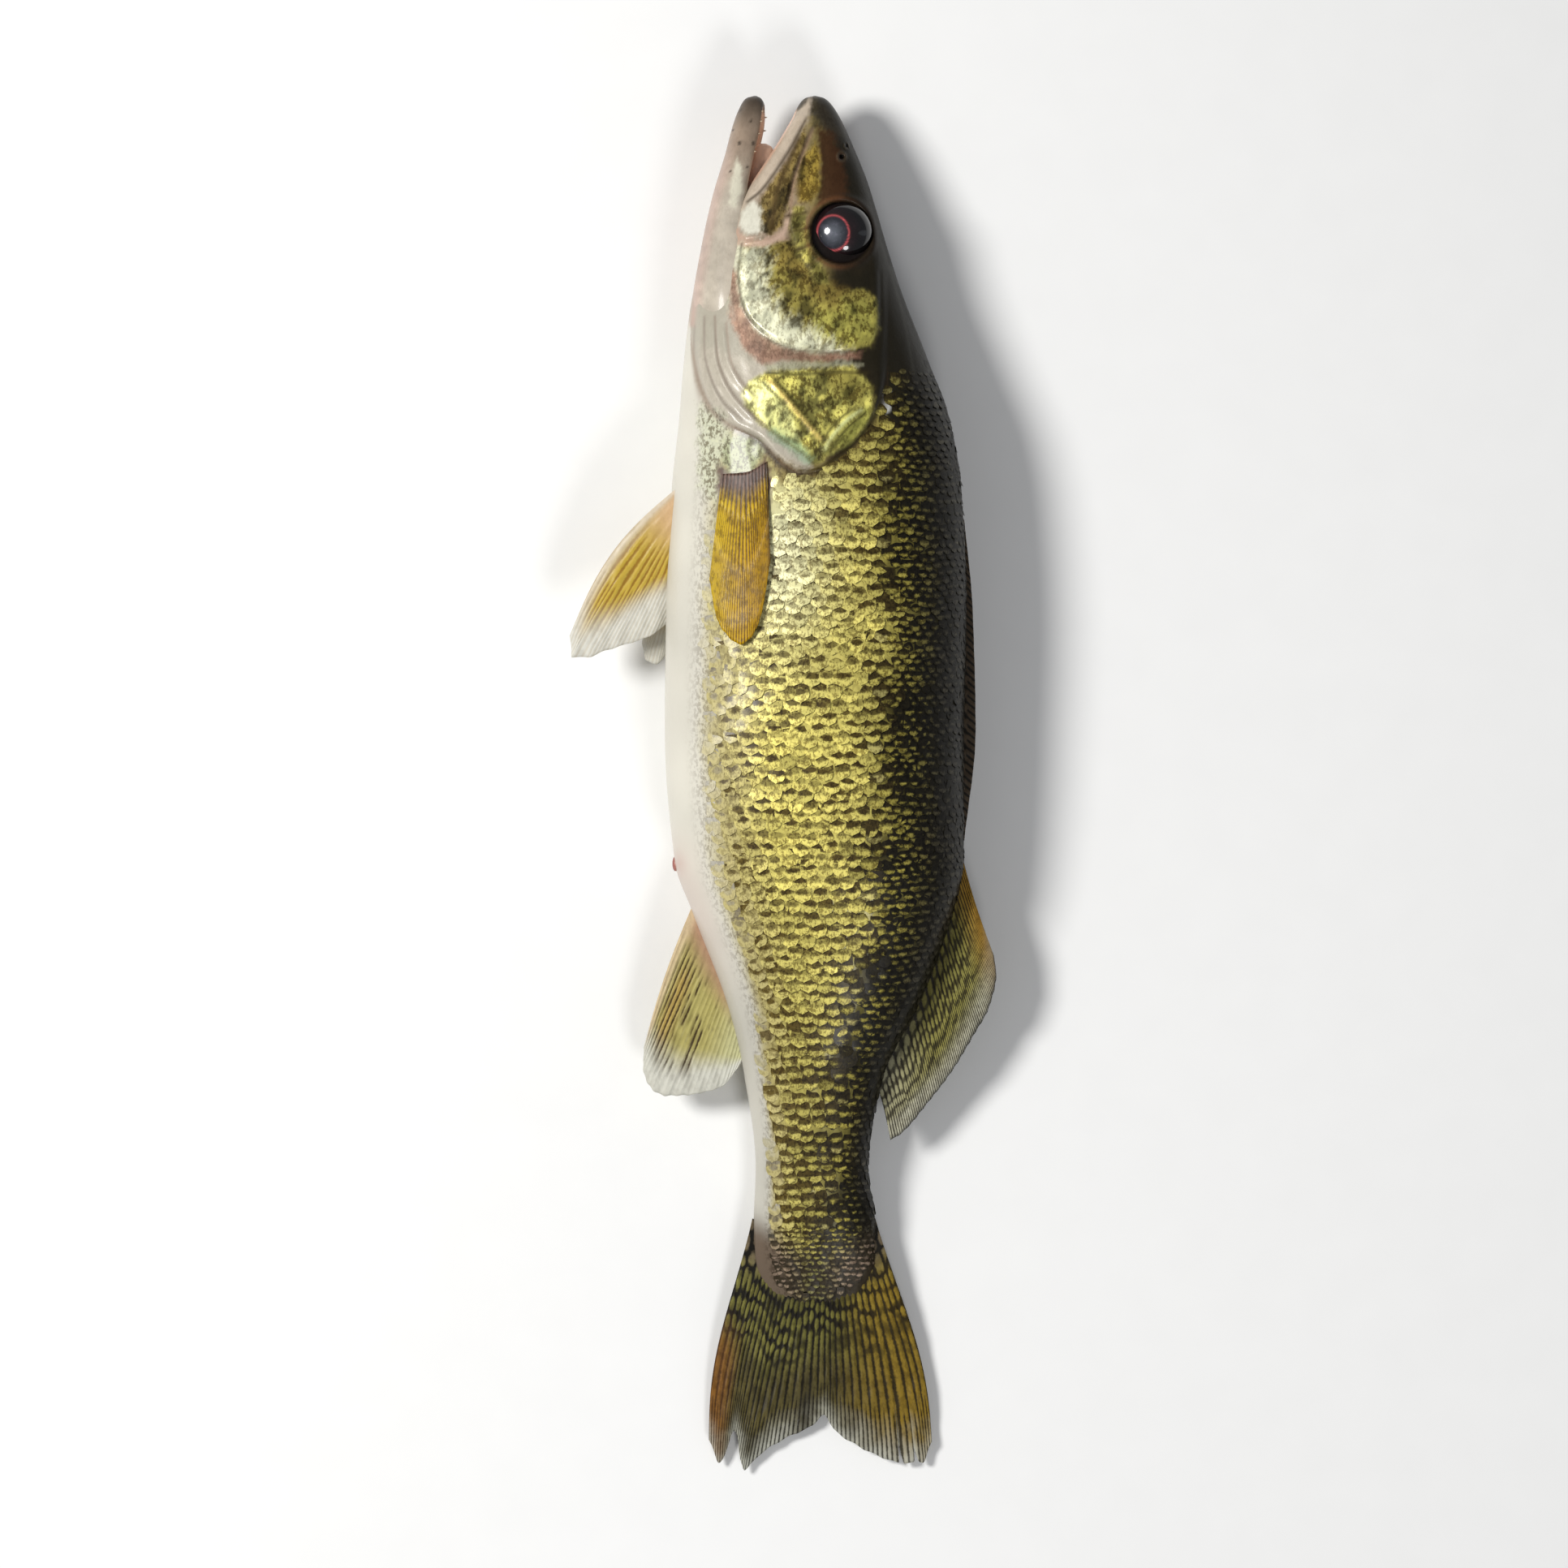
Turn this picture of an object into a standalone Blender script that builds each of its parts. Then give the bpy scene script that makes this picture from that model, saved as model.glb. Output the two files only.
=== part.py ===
# A whole raw walleye, lying on its right side with its mouth a little open.
# +Y points to the head, +X to the back and +Z up, out of the left side.
# The tables hold the millimetres of a fish of TABLE_LENGTH. Each mesh is turned into
# metres as it is made, and TOTAL_LENGTH makes the whole fish longer or shorter.

import math

import bmesh
import bpy
import numpy as np

TOTAL_LENGTH = 460.0
TABLE_LENGTH = 460.0
UNIT = 0.001 * TOTAL_LENGTH / TABLE_LENGTH
SNOUT_Y = TABLE_LENGTH / 2

# Body sections from the snout to the root of the tail: place along the fish, then
# belly edge and back edge across it, half thickness, and squareness of the section.
BODY_SECTIONS = (
    (SNOUT_Y, 10.0, 10.6, 0.3, 2.2),
    (229.2, 7.0, 13.5, 3.6, 2.2),
    (226.5, 4.6, 16.3, 6.4, 2.3),
    (221.1, 1.1, 19.5, 9.2, 2.4),
    (213.5, -3.8, 22.9, 12.0, 2.5),
    (202.0, -11.9, 27.6, 15.6, 2.6),
    (191.8, -17.6, 30.8, 18.2, 2.7),
    (180.0, -23.5, 34.2, 20.8, 2.6),
    (164.2, -30.3, 39.3, 23.6, 2.4),
    (142.5, -33.3, 47.7, 26.6, 2.3),
    (120.8, -35.1, 55.4, 28.6, 2.2),
    (99.2, -37.4, 59.0, 29.8, 2.15),
    (60.0, -39.3, 60.8, 31.3, 2.1),
    (17.9, -39.8, 60.0, 31.0, 2.1),
    (-26.5, -36.4, 59.8, 27.4, 2.1),
    (-42.0, -30.9, 56.6, 24.6, 2.1),
    (-76.7, -18.0, 43.6, 17.8, 2.1),
    (-97.3, -13.3, 33.2, 13.8, 2.1),
    (-128.4, -9.5, 28.2, 10.2, 2.1),
    (-148.0, -10.2, 30.6, 7.8, 2.0),
    (-160.0, -9.6, 30.4, 4.6, 2.0),
    (-170.0, -4.8, 25.8, 2.3, 2.0),
    (-176.0, 2.0, 19.0, 1.1, 2.0),
)

# Height of the plane that halves the fish, left from right. It sinks towards the
# tail and the snout, as a limp fish does.
MID_HEIGHTS = (
    (-230.0, 3.2),
    (-190.0, 5.6),
    (-155.0, 9.6),
    (-128.0, 13.2),
    (-97.0, 17.2),
    (-42.0, 24.4),
    (0.0, 28.2),
    (60.0, 29.6),
    (110.0, 28.7),
    (142.5, 26.8),
    (183.0, 24.6),
    (230.0, 22.4),
)

# Lower jaw sections: place, under edge, upper edge, half thickness.
JAW_SECTIONS = (
    (SNOUT_Y, -10.0, -9.4, 0.3),
    (229.2, -12.7, -7.3, 3.0),
    (226.5, -14.6, -5.8, 5.2),
    (221.1, -16.8, -5.8, 7.6),
    (210.0, -19.8, -7.6, 10.6),
    (196.7, -23.8, -9.6, 13.6),
    (180.5, -27.4, -8.0, 17.2),
    (158.8, -30.9, 0.0, 20.4),
    (137.0, -32.0, 6.0, 16.0),
)
JAW_SQUARENESS = 2.3

# Mouth hollow: place, half depth, half thickness, and its middle across the fish.
MOUTH_SECTIONS = (
    (236.0, 3.0, 3.0, 0.0),
    (226.5, 4.6, 3.6, -1.6),
    (220.0, 6.8, 4.9, -4.6),
    (207.0, 8.6, 7.8, -8.8),
    (191.0, 9.8, 10.6, -9.4),
    (172.0, 8.4, 9.8, -7.6),
    (152.0, 4.6, 5.0, -4.6),
)

# Tongue: place, half depth, half thickness, middle across.
TONGUE_SECTIONS = (
    (222.5, 1.4, 1.8, -8.4),
    (218.0, 3.6, 3.6, -8.8),
    (209.0, 5.6, 4.8, -11.0),
    (196.0, 6.2, 5.4, -15.6),
    (184.0, 5.4, 5.2, -18.6),
)

# Rear edge of the gill cover and of the cheek plate in front of it: where the edge
# lies along the fish, for each place across it.
GILL_EDGE = (
    (-31.5, 156.0),
    (-27.6, 134.4),
    (-23.3, 124.9),
    (-16.5, 119.2),
    (-8.4, 115.1),
    (-0.3, 106.7),
    (5.1, 103.8),
    (9.2, 104.0),
    (16.0, 107.3),
    (22.8, 113.2),
    (28.7, 120.8),
    (32.2, 128.9),
    (35.0, 142.0),
)
CHEEK_EDGE = (
    (-16.5, 180.0),
    (-14.3, 161.5),
    (-10.3, 153.3),
    (-4.3, 148.5),
    (3.8, 144.9),
    (11.9, 143.6),
    (21.4, 144.4),
    (28.7, 146.8),
    (31.6, 153.3),
    (32.6, 166.0),
)
GILL_STEP, GILL_REACH = 1.9, 22.0
CHEEK_STEP, CHEEK_REACH = 1.1, 14.0

# Upper jaw bone, a broad paddle from the snout to below the eye.
UPPER_JAW_OUTLINE = (
    (12.5, 224.0),
    (4.0, 224.0),
    (-4.4, 213.0),
    (-12.9, 201.5),
    (-18.4, 191.0),
    (-17.6, 183.6),
    (-13.0, 180.2),
    (-8.0, 180.8),
    (-3.0, 184.6),
    (1.2, 195.0),
    (5.4, 208.0),
    (9.6, 218.0),
)
UPPER_JAW_STEP = 1.3

EYE_X, EYE_Y = 19.0, 183.6
EYE_RADIUS = 10.4
EYE_HALF_THICKNESS = 7.6
EYE_PROUD = 20.6
SOCKET_GAP = 0.35

HEAD_END_Y = 100.0
SECTION_SIDES = 36
JAW_SIDES = 18
EYE_SIDES = 20

# The vent, a small fleshy knob on the belly: place, half depth, half thickness, middle.
VENT_SECTIONS = (
    (-31.0, 0.6, 0.6, -33.6),
    (-29.0, 2.4, 2.2, -33.8),
    (-26.5, 3.0, 2.6, -34.3),
    (-24.0, 2.0, 1.8, -35.0),
    (-22.6, 0.5, 0.5, -35.2),
)

# A fin is 1.5 mm thick where it leaves the body and 0.9 mm at its rim, and each ray
# stands out of it. The rays rise out of the body over the first part of their length.
FIN_ROOT, FIN_RIM = 1.5, 0.9
RAY_RELIEF = 0.45
RAY_RISE = 0.35
FIN_FLOOR = 0.5
UNDERSIDE_FLOOR = 1.4

# Root line and rim of each fin, from its leading ray backwards.
TAIL_ROOT = ((-10.6, -145.5), (10.0, -160.0), (30.6, -145.5))
TAIL_RIM = (
    (-25.2, -220.0),
    (-21.6, -228.0),
    (-16.6, -217.0),
    (-13.4, -230.35),
    (-7.0, -224.3),
    (1.1, -219.4),
    (9.2, -215.6),
    (13.3, -212.0),
    (17.3, -217.3),
    (24.1, -221.9),
    (32.2, -225.9),
    (39.6, -228.1),
    (46.4, -227.8),
    (49.6, -220.6),
)
SOFT_DORSAL_ROOT = ((56.5, -10.0), (49.0, -56.0), (29.5, -96.0))
SOFT_DORSAL_RIM = (
    (70.2, -57.5),
    (71.0, -64.0),
    (68.8, -74.2),
    (62.9, -85.1),
    (56.4, -95.9),
    (48.2, -106.7),
    (38.6, -117.6),
    (35.6, -119.2),
)
ANAL_ROOT = ((-29.5, -38.0), (-20.0, -60.0), (-11.5, -87.0))
ANAL_RIM = (
    (-46.9, -88.0),
    (-47.2, -95.0),
    (-44.6, -101.9),
    (-39.6, -104.5),
    (-32.8, -104.3),
    (-26.0, -103.1),
    (-20.6, -101.2),
    (-15.4, -95.0),
)
SPINY_DORSAL_ROOT = ((57.0, 94.0), (57.5, 60.0), (57.0, 15.0), (55.5, -14.0))
SPINY_DORSAL_RIM = ((60.2, 88.0), (63.0, 58.0), (64.0, 18.0), (60.2, -19.0))

# Paired fins. The left ones are on the upper side.
PECTORAL_ROOT = ((-5.6, 107.0), (-13.0, 103.5), (-20.6, 103.0))
PECTORAL_RIM = (
    (-4.5, 74.0),
    (-7.6, 55.8),
    (-11.1, 48.2),
    (-14.6, 46.1),
    (-18.2, 48.4),
    (-22.4, 55.0),
    (-24.8, 68.0),
)
LEFT_PELVIC_ROOT = ((-34.0, 100.0), (-32.5, 91.0), (-31.5, 83.0))
LEFT_PELVIC_RIM = (
    (-71.6, 49.5),
    (-70.9, 42.2),
    (-66.5, 42.0),
    (-59.9, 44.3),
    (-53.1, 46.4),
    (-45.0, 49.2),
    (-38.4, 54.0),
)
RIGHT_PELVIC_ROOT = ((-31.0, 94.0), (-30.0, 89.0), (-29.5, 84.0))
RIGHT_PELVIC_RIM = ((-47.6, 47.0), (-46.0, 41.0), (-42.6, 40.0), (-39.6, 43.4), (-36.5, 52.0))

SKIN_TINT = (0.36, 0.33, 0.14)
EYE_TINT = (0.02, 0.018, 0.02)
SKIN_ROUGHNESS = 0.32
EYE_ROUGHNESS = 0.08


def smooth_through(pairs, places):
    """Monotone cubic curve through (place, value) pairs, read at the places given."""
    table = np.array(sorted(pairs), float)
    knots, values = table[:, 0], table[:, 1]
    step = np.diff(knots)
    rise = np.diff(values) / step
    together = rise[1:] * rise[:-1]
    total = rise[1:] + rise[:-1]
    safe = np.where(together > 0, total, 1.0)
    inner = np.where(together > 0, 2 * together / safe, 0.0)
    slope = np.concatenate([[rise[0]], inner, [rise[-1]]])
    places = np.clip(places, knots[0], knots[-1])
    i = np.clip(np.searchsorted(knots, places) - 1, 0, len(step) - 1)
    t = (places - knots[i]) / step[i]
    return (
        values[i] * (1 + 2 * t) * (1 - t) ** 2
        + slope[i] * step[i] * t * (1 - t) ** 2
        + values[i + 1] * t * t * (3 - 2 * t)
        + slope[i + 1] * step[i] * t * t * (t - 1)
    )


def column(sections, index):
    return tuple((row[0], row[index]) for row in sections)


def mid_height(y):
    return smooth_through(MID_HEIGHTS, y)


def smooth_step(value, low, high):
    t = np.clip((value - low) / (high - low), 0.0, 1.0)
    return t * t * (3 - 2 * t)


def flap(x, y, edge, step, reach):
    """Height of a plate that ends in a free edge and dies away towards the head."""
    edge_y = smooth_through(edge, x)
    lean = (smooth_through(edge, x + 0.5) - smooth_through(edge, x - 0.5)) / 1.0
    ahead = (y - edge_y) / np.sqrt(1 + lean * lean)
    inside = smooth_step(x, edge[0][0], edge[0][0] + 4) * (
        1 - smooth_step(x, edge[-1][0] - 4, edge[-1][0])
    )
    return step * inside * smooth_step(ahead, -0.6, 1.6) * np.exp(-np.maximum(ahead, 0) / reach)


def distance_inside(x, y, outline):
    """Distance to a closed outline, positive inside it."""
    best, crossings = 1e9, 0
    for (ax, ay), (bx, by) in zip(outline, outline[1:] + outline[:1]):
        dx, dy = bx - ax, by - ay
        t = min(max(((x - ax) * dx + (y - ay) * dy) / (dx * dx + dy * dy), 0.0), 1.0)
        best = min(best, math.hypot(x - ax - t * dx, y - ay - t * dy))
        if (ay > y) != (by > y) and x < ax + (y - ay) * dx / dy:
            crossings += 1
    return best if crossings % 2 else -best


def head_relief(x, y):
    """How far the plates of the head stand out of its side at this place."""
    raised = flap(x, y, GILL_EDGE, GILL_STEP, GILL_REACH)
    raised += flap(x, y, CHEEK_EDGE, CHEEK_STEP, CHEEK_REACH)
    inside = distance_inside(x, y, UPPER_JAW_OUTLINE)
    return raised + UPPER_JAW_STEP * smooth_step(inside, -0.8, 1.6)


def section(y, low, high, half, squareness, sides, relief=None):
    """One closed ring across the fish, as points in millimetres, resting on the floor."""
    middle, reach = (low + high) / 2, (high - low) / 2
    ring = []
    for k in range(sides):
        angle = 2 * math.pi * (k + 0.5) / sides
        c, s = math.cos(angle), math.sin(angle)
        across = math.copysign(abs(c) ** (2 / squareness), c)
        out = math.copysign(abs(s) ** (2 / squareness), s)
        x = middle + reach * across
        z = half * out
        if relief is not None:
            z += math.copysign(relief(x, y), s) * min(1.0, 1.6 * abs(out))
        ring.append((x, y, max(float(mid_height(y)) + z, 0.0)))
    return ring


def mesh_object(name, points, faces, tint, roughness):
    """A closed mesh with its faces pointing out, in metres."""
    mesh = bpy.data.meshes.new(name)
    mesh.from_pydata([[value * UNIT for value in point] for point in points], [], faces)
    work = bmesh.new()
    work.from_mesh(mesh)
    bmesh.ops.recalc_face_normals(work, faces=work.faces)
    work.to_mesh(mesh)
    work.free()
    mesh.shade_smooth()
    thing = bpy.data.objects.new(name, mesh)
    bpy.context.scene.collection.objects.link(thing)
    mesh.materials.append(finish(name, tint, roughness))
    return thing


def finish(name, tint, roughness):
    material = bpy.data.materials.new(name)
    material.use_nodes = True
    shader = material.node_tree.nodes["Principled BSDF"]
    shader.inputs["Base Color"].default_value = (*tint, 1.0)
    shader.inputs["Roughness"].default_value = roughness
    shader.inputs["Metallic"].default_value = 0.0
    return material


def loft(rings):
    """Points and faces of a skin over rings of one size, with a fan at each end."""
    points = [point for ring in rings for point in ring]
    sides = len(rings[0])
    faces = []
    for i in range(len(rings) - 1):
        for k in range(sides):
            after = (k + 1) % sides
            faces.append(
                (i * sides + k, i * sides + after, (i + 1) * sides + after, (i + 1) * sides + k)
            )
    for first, ring in ((0, rings[0]), (len(points) - sides, rings[-1])):
        points.append(tuple(np.mean(ring, axis=0)))
        hub = len(points) - 1
        for k in range(sides):
            faces.append((first + k, first + (k + 1) % sides, hub))
    return points, faces


def body_places():
    """Where the body's rings lie: close together round the snout and over the head."""
    snout = [SNOUT_Y - 10.0 * (k / 6) ** 2 for k in range(1, 7)]
    head = list(np.linspace(217.0, HEAD_END_Y, 36))
    trunk = list(np.linspace(HEAD_END_Y - 8.0, -150.0, 24))
    root = [-155.0, -160.0, -165.0, -170.0, -174.0, -176.0]
    return [SNOUT_Y - 0.02, *snout, *head, *trunk, *root]


def make_body():
    rings = []
    for y in body_places():
        low, high, half, squareness = (
            float(smooth_through(column(BODY_SECTIONS, k), y)) for k in (1, 2, 3, 4)
        )
        rings.append(section(y, low, high, half, squareness, SECTION_SIDES, head_relief))
    return mesh_object("fish", *loft(rings), SKIN_TINT, SKIN_ROUGHNESS)


def make_lower_jaw():
    places = [SNOUT_Y - 0.02, 229.4, 228.4, 226.8, 224.4, *np.linspace(221.0, 137.0, 15)]
    rings = []
    for y in places:
        low, high, half = (
            float(smooth_through(column(JAW_SECTIONS, k), y)) for k in (1, 2, 3)
        )
        rings.append(section(y, low, high, half, JAW_SQUARENESS, JAW_SIDES))
    return mesh_object("lower_jaw", *loft(rings), SKIN_TINT, SKIN_ROUGHNESS)


def make_oval_loft(name, sections, rings_wanted, sides):
    """A closed run of oval sections, such as the mouth's hollow or the tongue."""
    rings = []
    for y in np.linspace(sections[0][0], sections[-1][0], rings_wanted):
        depth, half, middle = (
            float(smooth_through(column(sections, k), y)) for k in (1, 2, 3)
        )
        rings.append(section(y, middle - depth, middle + depth, half, 2.0, sides))
    return mesh_object(name, *loft(rings), SKIN_TINT, SKIN_ROUGHNESS)


def eye_ball(name, side, radius, half_thickness):
    """A flattened ball at the eye's place. side is +1 for the upper eye, -1 for the lower."""
    middle = float(mid_height(EYE_Y)) + side * (EYE_PROUD - EYE_HALF_THICKNESS)
    rings = []
    for i in range(1, 12):
        tilt = math.pi * i / 12
        ring_radius = radius * math.sin(tilt)
        rise = half_thickness * math.cos(tilt)
        ring = []
        for k in range(EYE_SIDES):
            angle = 2 * math.pi * k / EYE_SIDES
            ring.append(
                (
                    EYE_X + ring_radius * math.cos(angle),
                    EYE_Y + ring_radius * math.sin(angle),
                    middle + rise,
                )
            )
        rings.append(ring)
    return mesh_object(name, *loft(rings), EYE_TINT, EYE_ROUGHNESS)


def over_mid_plane(x, y, lift):
    return max(float(mid_height(y)) + lift, FIN_FLOOR)


def make_fin(name, root, rim, rays, rows, web, bow=0.0, late=1.0, lift=(0.0, 0.0), lie=over_mid_plane):
    """A thin fin fanned from its root line to its rim, with a ridge along each ray.

    web is how far the skin between two rays falls short of their tips. bow pushes the
    outer rays sideways, the long ones most, and nearer the rim where late is over 1.
    lift is the fin's height over what it lies on, at the root and at the rim.
    """
    columns = 2 * rays - 1
    share = np.linspace(0.0, 1.0, columns)
    starts = through_points(root, share)
    ends = through_points(rim, share)
    longest = max(np.hypot(*(end - start)) for start, end in zip(starts, ends))
    upper, lower = [], []
    for c in range(columns):
        on_ray = c % 2 == 0
        start, end = starts[c], ends[c]
        if not on_ray:
            end = end + (start - end) * web
        run = end - start
        aside = np.array([-run[1], run[0]]) / longest
        outward = 2 * share[c] - 1
        for r in range(rows + 1):
            t = r / rows
            push = bow * outward * abs(outward) * math.sin(math.pi * t**late)
            x, y = start + run * t + aside * push
            z = lie(x, y, lift[0] + (lift[1] - lift[0]) * t)
            half = (FIN_ROOT + (FIN_RIM - FIN_ROOT) * t) / 2
            if on_ray:
                half += RAY_RELIEF * float(smooth_step(t, 0.0, RAY_RISE)) * (1.2 - 0.6 * t)
            upper.append((x, y, z + half))
            lower.append((x, y, max(z - half, 0.3)))
    return mesh_object(
        name, *sheet_solid(upper, lower, columns, rows + 1), SKIN_TINT, SKIN_ROUGHNESS
    )


def sheet_solid(upper, lower, columns, rows):
    """A closed solid between two grids of points."""
    points = upper + lower
    base = len(upper)
    faces = []
    for c in range(columns - 1):
        for r in range(rows - 1):
            a, b = c * rows + r, (c + 1) * rows + r
            faces.append((a, b, b + 1))
            faces.append((a, b + 1, a + 1))
            faces.append((base + a, base + b + 1, base + b))
            faces.append((base + a, base + a + 1, base + b + 1))
    border = [r for r in range(rows)]
    border += [c * rows + rows - 1 for c in range(1, columns)]
    border += [(columns - 1) * rows + r for r in range(rows - 2, -1, -1)]
    border += [c * rows for c in range(columns - 2, 0, -1)]
    for a, b in zip(border, border[1:] + border[:1]):
        faces.append((a, b, base + b, base + a))
    return points, faces


def through_points(outline, share):
    """Points at these shares of the way along a smooth line through the outline."""
    line = np.array(outline, float)
    steps = np.hypot(*np.diff(line, axis=0).T)
    along = np.concatenate([[0.0], np.cumsum(steps)]) / steps.sum()
    return np.column_stack(
        [smooth_through(tuple(zip(along, line[:, k])), share) for k in (0, 1)]
    )


def body_surface(x, y, side):
    """Height of the body's side over this place, for fins that lie against it."""
    low, high, half, squareness = (
        float(smooth_through(column(BODY_SECTIONS, k), y)) for k in (1, 2, 3, 4)
    )
    across = min(abs(x - (low + high) / 2) / ((high - low) / 2), 1.0)
    return float(mid_height(y)) + side * half * (1 - across**squareness) ** (1 / squareness)


def on_left_side(x, y, lift):
    return body_surface(x, y, 1) + lift


def on_right_side(x, y, lift):
    return max(body_surface(x, y, -1) - lift, UNDERSIDE_FLOOR)


def make_fins():
    return [
        make_fin("tail", TAIL_ROOT, TAIL_RIM, rays=17, rows=6, web=0.02, bow=3.4, late=1.5),
        make_fin("soft_dorsal", SOFT_DORSAL_ROOT, SOFT_DORSAL_RIM, rays=16, rows=4, web=0.02, bow=1.2),
        make_fin("anal", ANAL_ROOT, ANAL_RIM, rays=12, rows=4, web=0.02, bow=1.2),
        make_fin("spiny_dorsal", SPINY_DORSAL_ROOT, SPINY_DORSAL_RIM, rays=11, rows=2, web=0.1),
        make_fin(
            "left_pectoral", PECTORAL_ROOT, PECTORAL_RIM, rays=10, rows=5, web=0.02,
            lift=(-1.0, 1.7), lie=on_left_side,
        ),
        make_fin(
            "right_pectoral", PECTORAL_ROOT, PECTORAL_RIM, rays=10, rows=5, web=0.02,
            lift=(-1.0, 1.0), lie=on_right_side,
        ),
        make_fin(
            "left_pelvic", LEFT_PELVIC_ROOT, LEFT_PELVIC_RIM, rays=7, rows=5, web=0.03,
            bow=5.4, lift=(7.0, -4.0),
        ),
        make_fin(
            "right_pelvic", RIGHT_PELVIC_ROOT, RIGHT_PELVIC_RIM, rays=6, rows=5, web=0.03,
            bow=3.0, lift=(-7.0, -16.0),
        ),
    ]


def apply_boolean(thing, operation, other):
    """Joins to thing, or cuts from it, an object or a collection, and removes what was used."""
    modifier = thing.modifiers.new("join", "BOOLEAN")
    modifier.operation = operation
    modifier.solver = "EXACT"
    if isinstance(other, bpy.types.Collection):
        modifier.operand_type = "COLLECTION"
        modifier.collection = other
        used = list(other.objects)
    else:
        modifier.object = other
        used = [other]
    bpy.context.view_layer.update()
    graph = bpy.context.evaluated_depsgraph_get()
    result = bpy.data.meshes.new_from_object(thing.evaluated_get(graph))
    thing.modifiers.clear()
    thing.data = result
    for piece in used:
        bpy.data.objects.remove(piece)
    if isinstance(other, bpy.types.Collection):
        bpy.data.collections.remove(other)


def gathered(name, things):
    group = bpy.data.collections.new(name)
    bpy.context.scene.collection.children.link(group)
    for thing in things:
        bpy.context.scene.collection.objects.unlink(thing)
        group.objects.link(thing)
    return group


def build():
    for thing in list(bpy.data.objects):
        bpy.data.objects.remove(thing)
    fish = make_body()
    vent = make_oval_loft("vent", VENT_SECTIONS, 7, 10)
    apply_boolean(fish, "UNION", gathered("joined", [make_lower_jaw(), vent, *make_fins()]))
    mouth = make_oval_loft("mouth", MOUTH_SECTIONS, 12, 20)
    wide, thick = EYE_RADIUS + SOCKET_GAP, EYE_HALF_THICKNESS + SOCKET_GAP
    sockets = [eye_ball("socket", side, wide, thick) for side in (1, -1)]
    apply_boolean(fish, "DIFFERENCE", gathered("hollows", [mouth, *sockets]))
    apply_boolean(fish, "UNION", make_oval_loft("tongue", TONGUE_SECTIONS, 8, 14))
    eye_ball("eye_left", 1, EYE_RADIUS, EYE_HALF_THICKNESS)
    eye_ball("eye_right", -1, EYE_RADIUS, EYE_HALF_THICKNESS)


build()
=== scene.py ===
# Looks of a whole raw walleye on its side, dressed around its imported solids.
# +Y is the head, +X the back, +Z the fish's left side. Tables are in millimetres.
import math

import bmesh
import bpy
import numpy as np
from mathutils import Matrix, Vector


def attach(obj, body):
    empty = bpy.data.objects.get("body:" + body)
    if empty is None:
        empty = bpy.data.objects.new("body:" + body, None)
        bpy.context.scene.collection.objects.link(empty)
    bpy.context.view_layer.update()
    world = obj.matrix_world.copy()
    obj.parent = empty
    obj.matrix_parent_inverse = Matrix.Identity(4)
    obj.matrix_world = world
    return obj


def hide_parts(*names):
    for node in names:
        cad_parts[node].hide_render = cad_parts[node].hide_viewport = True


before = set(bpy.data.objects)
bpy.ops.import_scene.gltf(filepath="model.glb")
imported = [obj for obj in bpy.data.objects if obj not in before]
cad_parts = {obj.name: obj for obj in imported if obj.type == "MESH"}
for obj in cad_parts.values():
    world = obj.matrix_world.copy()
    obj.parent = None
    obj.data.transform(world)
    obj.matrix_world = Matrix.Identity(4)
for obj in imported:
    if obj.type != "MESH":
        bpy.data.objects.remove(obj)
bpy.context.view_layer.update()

mm = 0.001
root = "root"

# Marks and outlines below are given in the picture's pixels, which this turns into
# millimetres on the fish.
picture = {"pixelSize": 0.2709, "middle": 966.0, "width": 1932.0}

print("stage: helpers")


def toPicture(x, y):
    middle, pixel = picture["middle"], picture["pixelSize"]
    return middle + x / pixel, middle - y / pixel


# A screen colour, 0 to 255, as linear light.
def linear(*rgb):
    c = np.array(rgb, float) / 255
    return np.where(c <= 0.04045, c / 12.92, ((c + 0.055) / 1.055) ** 2.4)


def smoothStep(value, low, high):
    t = np.clip((value - low) / (high - low), 0.0, 1.0)
    return t * t * (3 - 2 * t)


# a to b by t, where b may be a colour and t an array over points.
def blend(a, b, t):
    t = np.asarray(t, float)
    if np.shape(b)[-1:] == (3,):
        t = t[..., None]
    return a + (b - a) * t


# Screen colours laid over the first one, each by its own share.
def paint(tint, *layers):
    tint = linear(*tint) if isinstance(tint, tuple) else tint
    for rgb, share in layers:
        tint = blend(tint, linear(*rgb), share)
    return tint


# 1 at the middle and softly down to 0 on both sides of it.
def hump(value, middle, width):
    return np.exp(-(((value - middle) / width) ** 2))


# 1 at a place in the picture and softly down to 0 around it.
def softSpot(u, v, spotU, spotV, wide, high):
    return np.exp(-(((u - spotU) / wide) ** 2 + ((v - spotV) / high) ** 2))


# Monotone cubic curve through (place, value) pairs.
def smoothThrough(pairs, places):
    table = np.array(sorted(pairs), float)
    knots, values = table[:, 0], table[:, 1]
    step = np.diff(knots)
    rise = np.diff(values) / step
    together = rise[1:] * rise[:-1]
    safe = np.where(together > 0, rise[1:] + rise[:-1], 1.0)
    inner = np.where(together > 0, 2 * together / safe, 0.0)
    slope = np.concatenate([[rise[0]], inner, [rise[-1]]])
    places = np.clip(places, knots[0], knots[-1])
    i = np.clip(np.searchsorted(knots, places) - 1, 0, len(step) - 1)
    t = (places - knots[i]) / step[i]
    return (
        values[i] * (1 + 2 * t) * (1 - t) ** 2
        + slope[i] * step[i] * t * (1 - t) ** 2
        + values[i + 1] * t * t * (3 - 2 * t)
        + slope[i + 1] * step[i] * t * t * (t - 1)
    )


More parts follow.
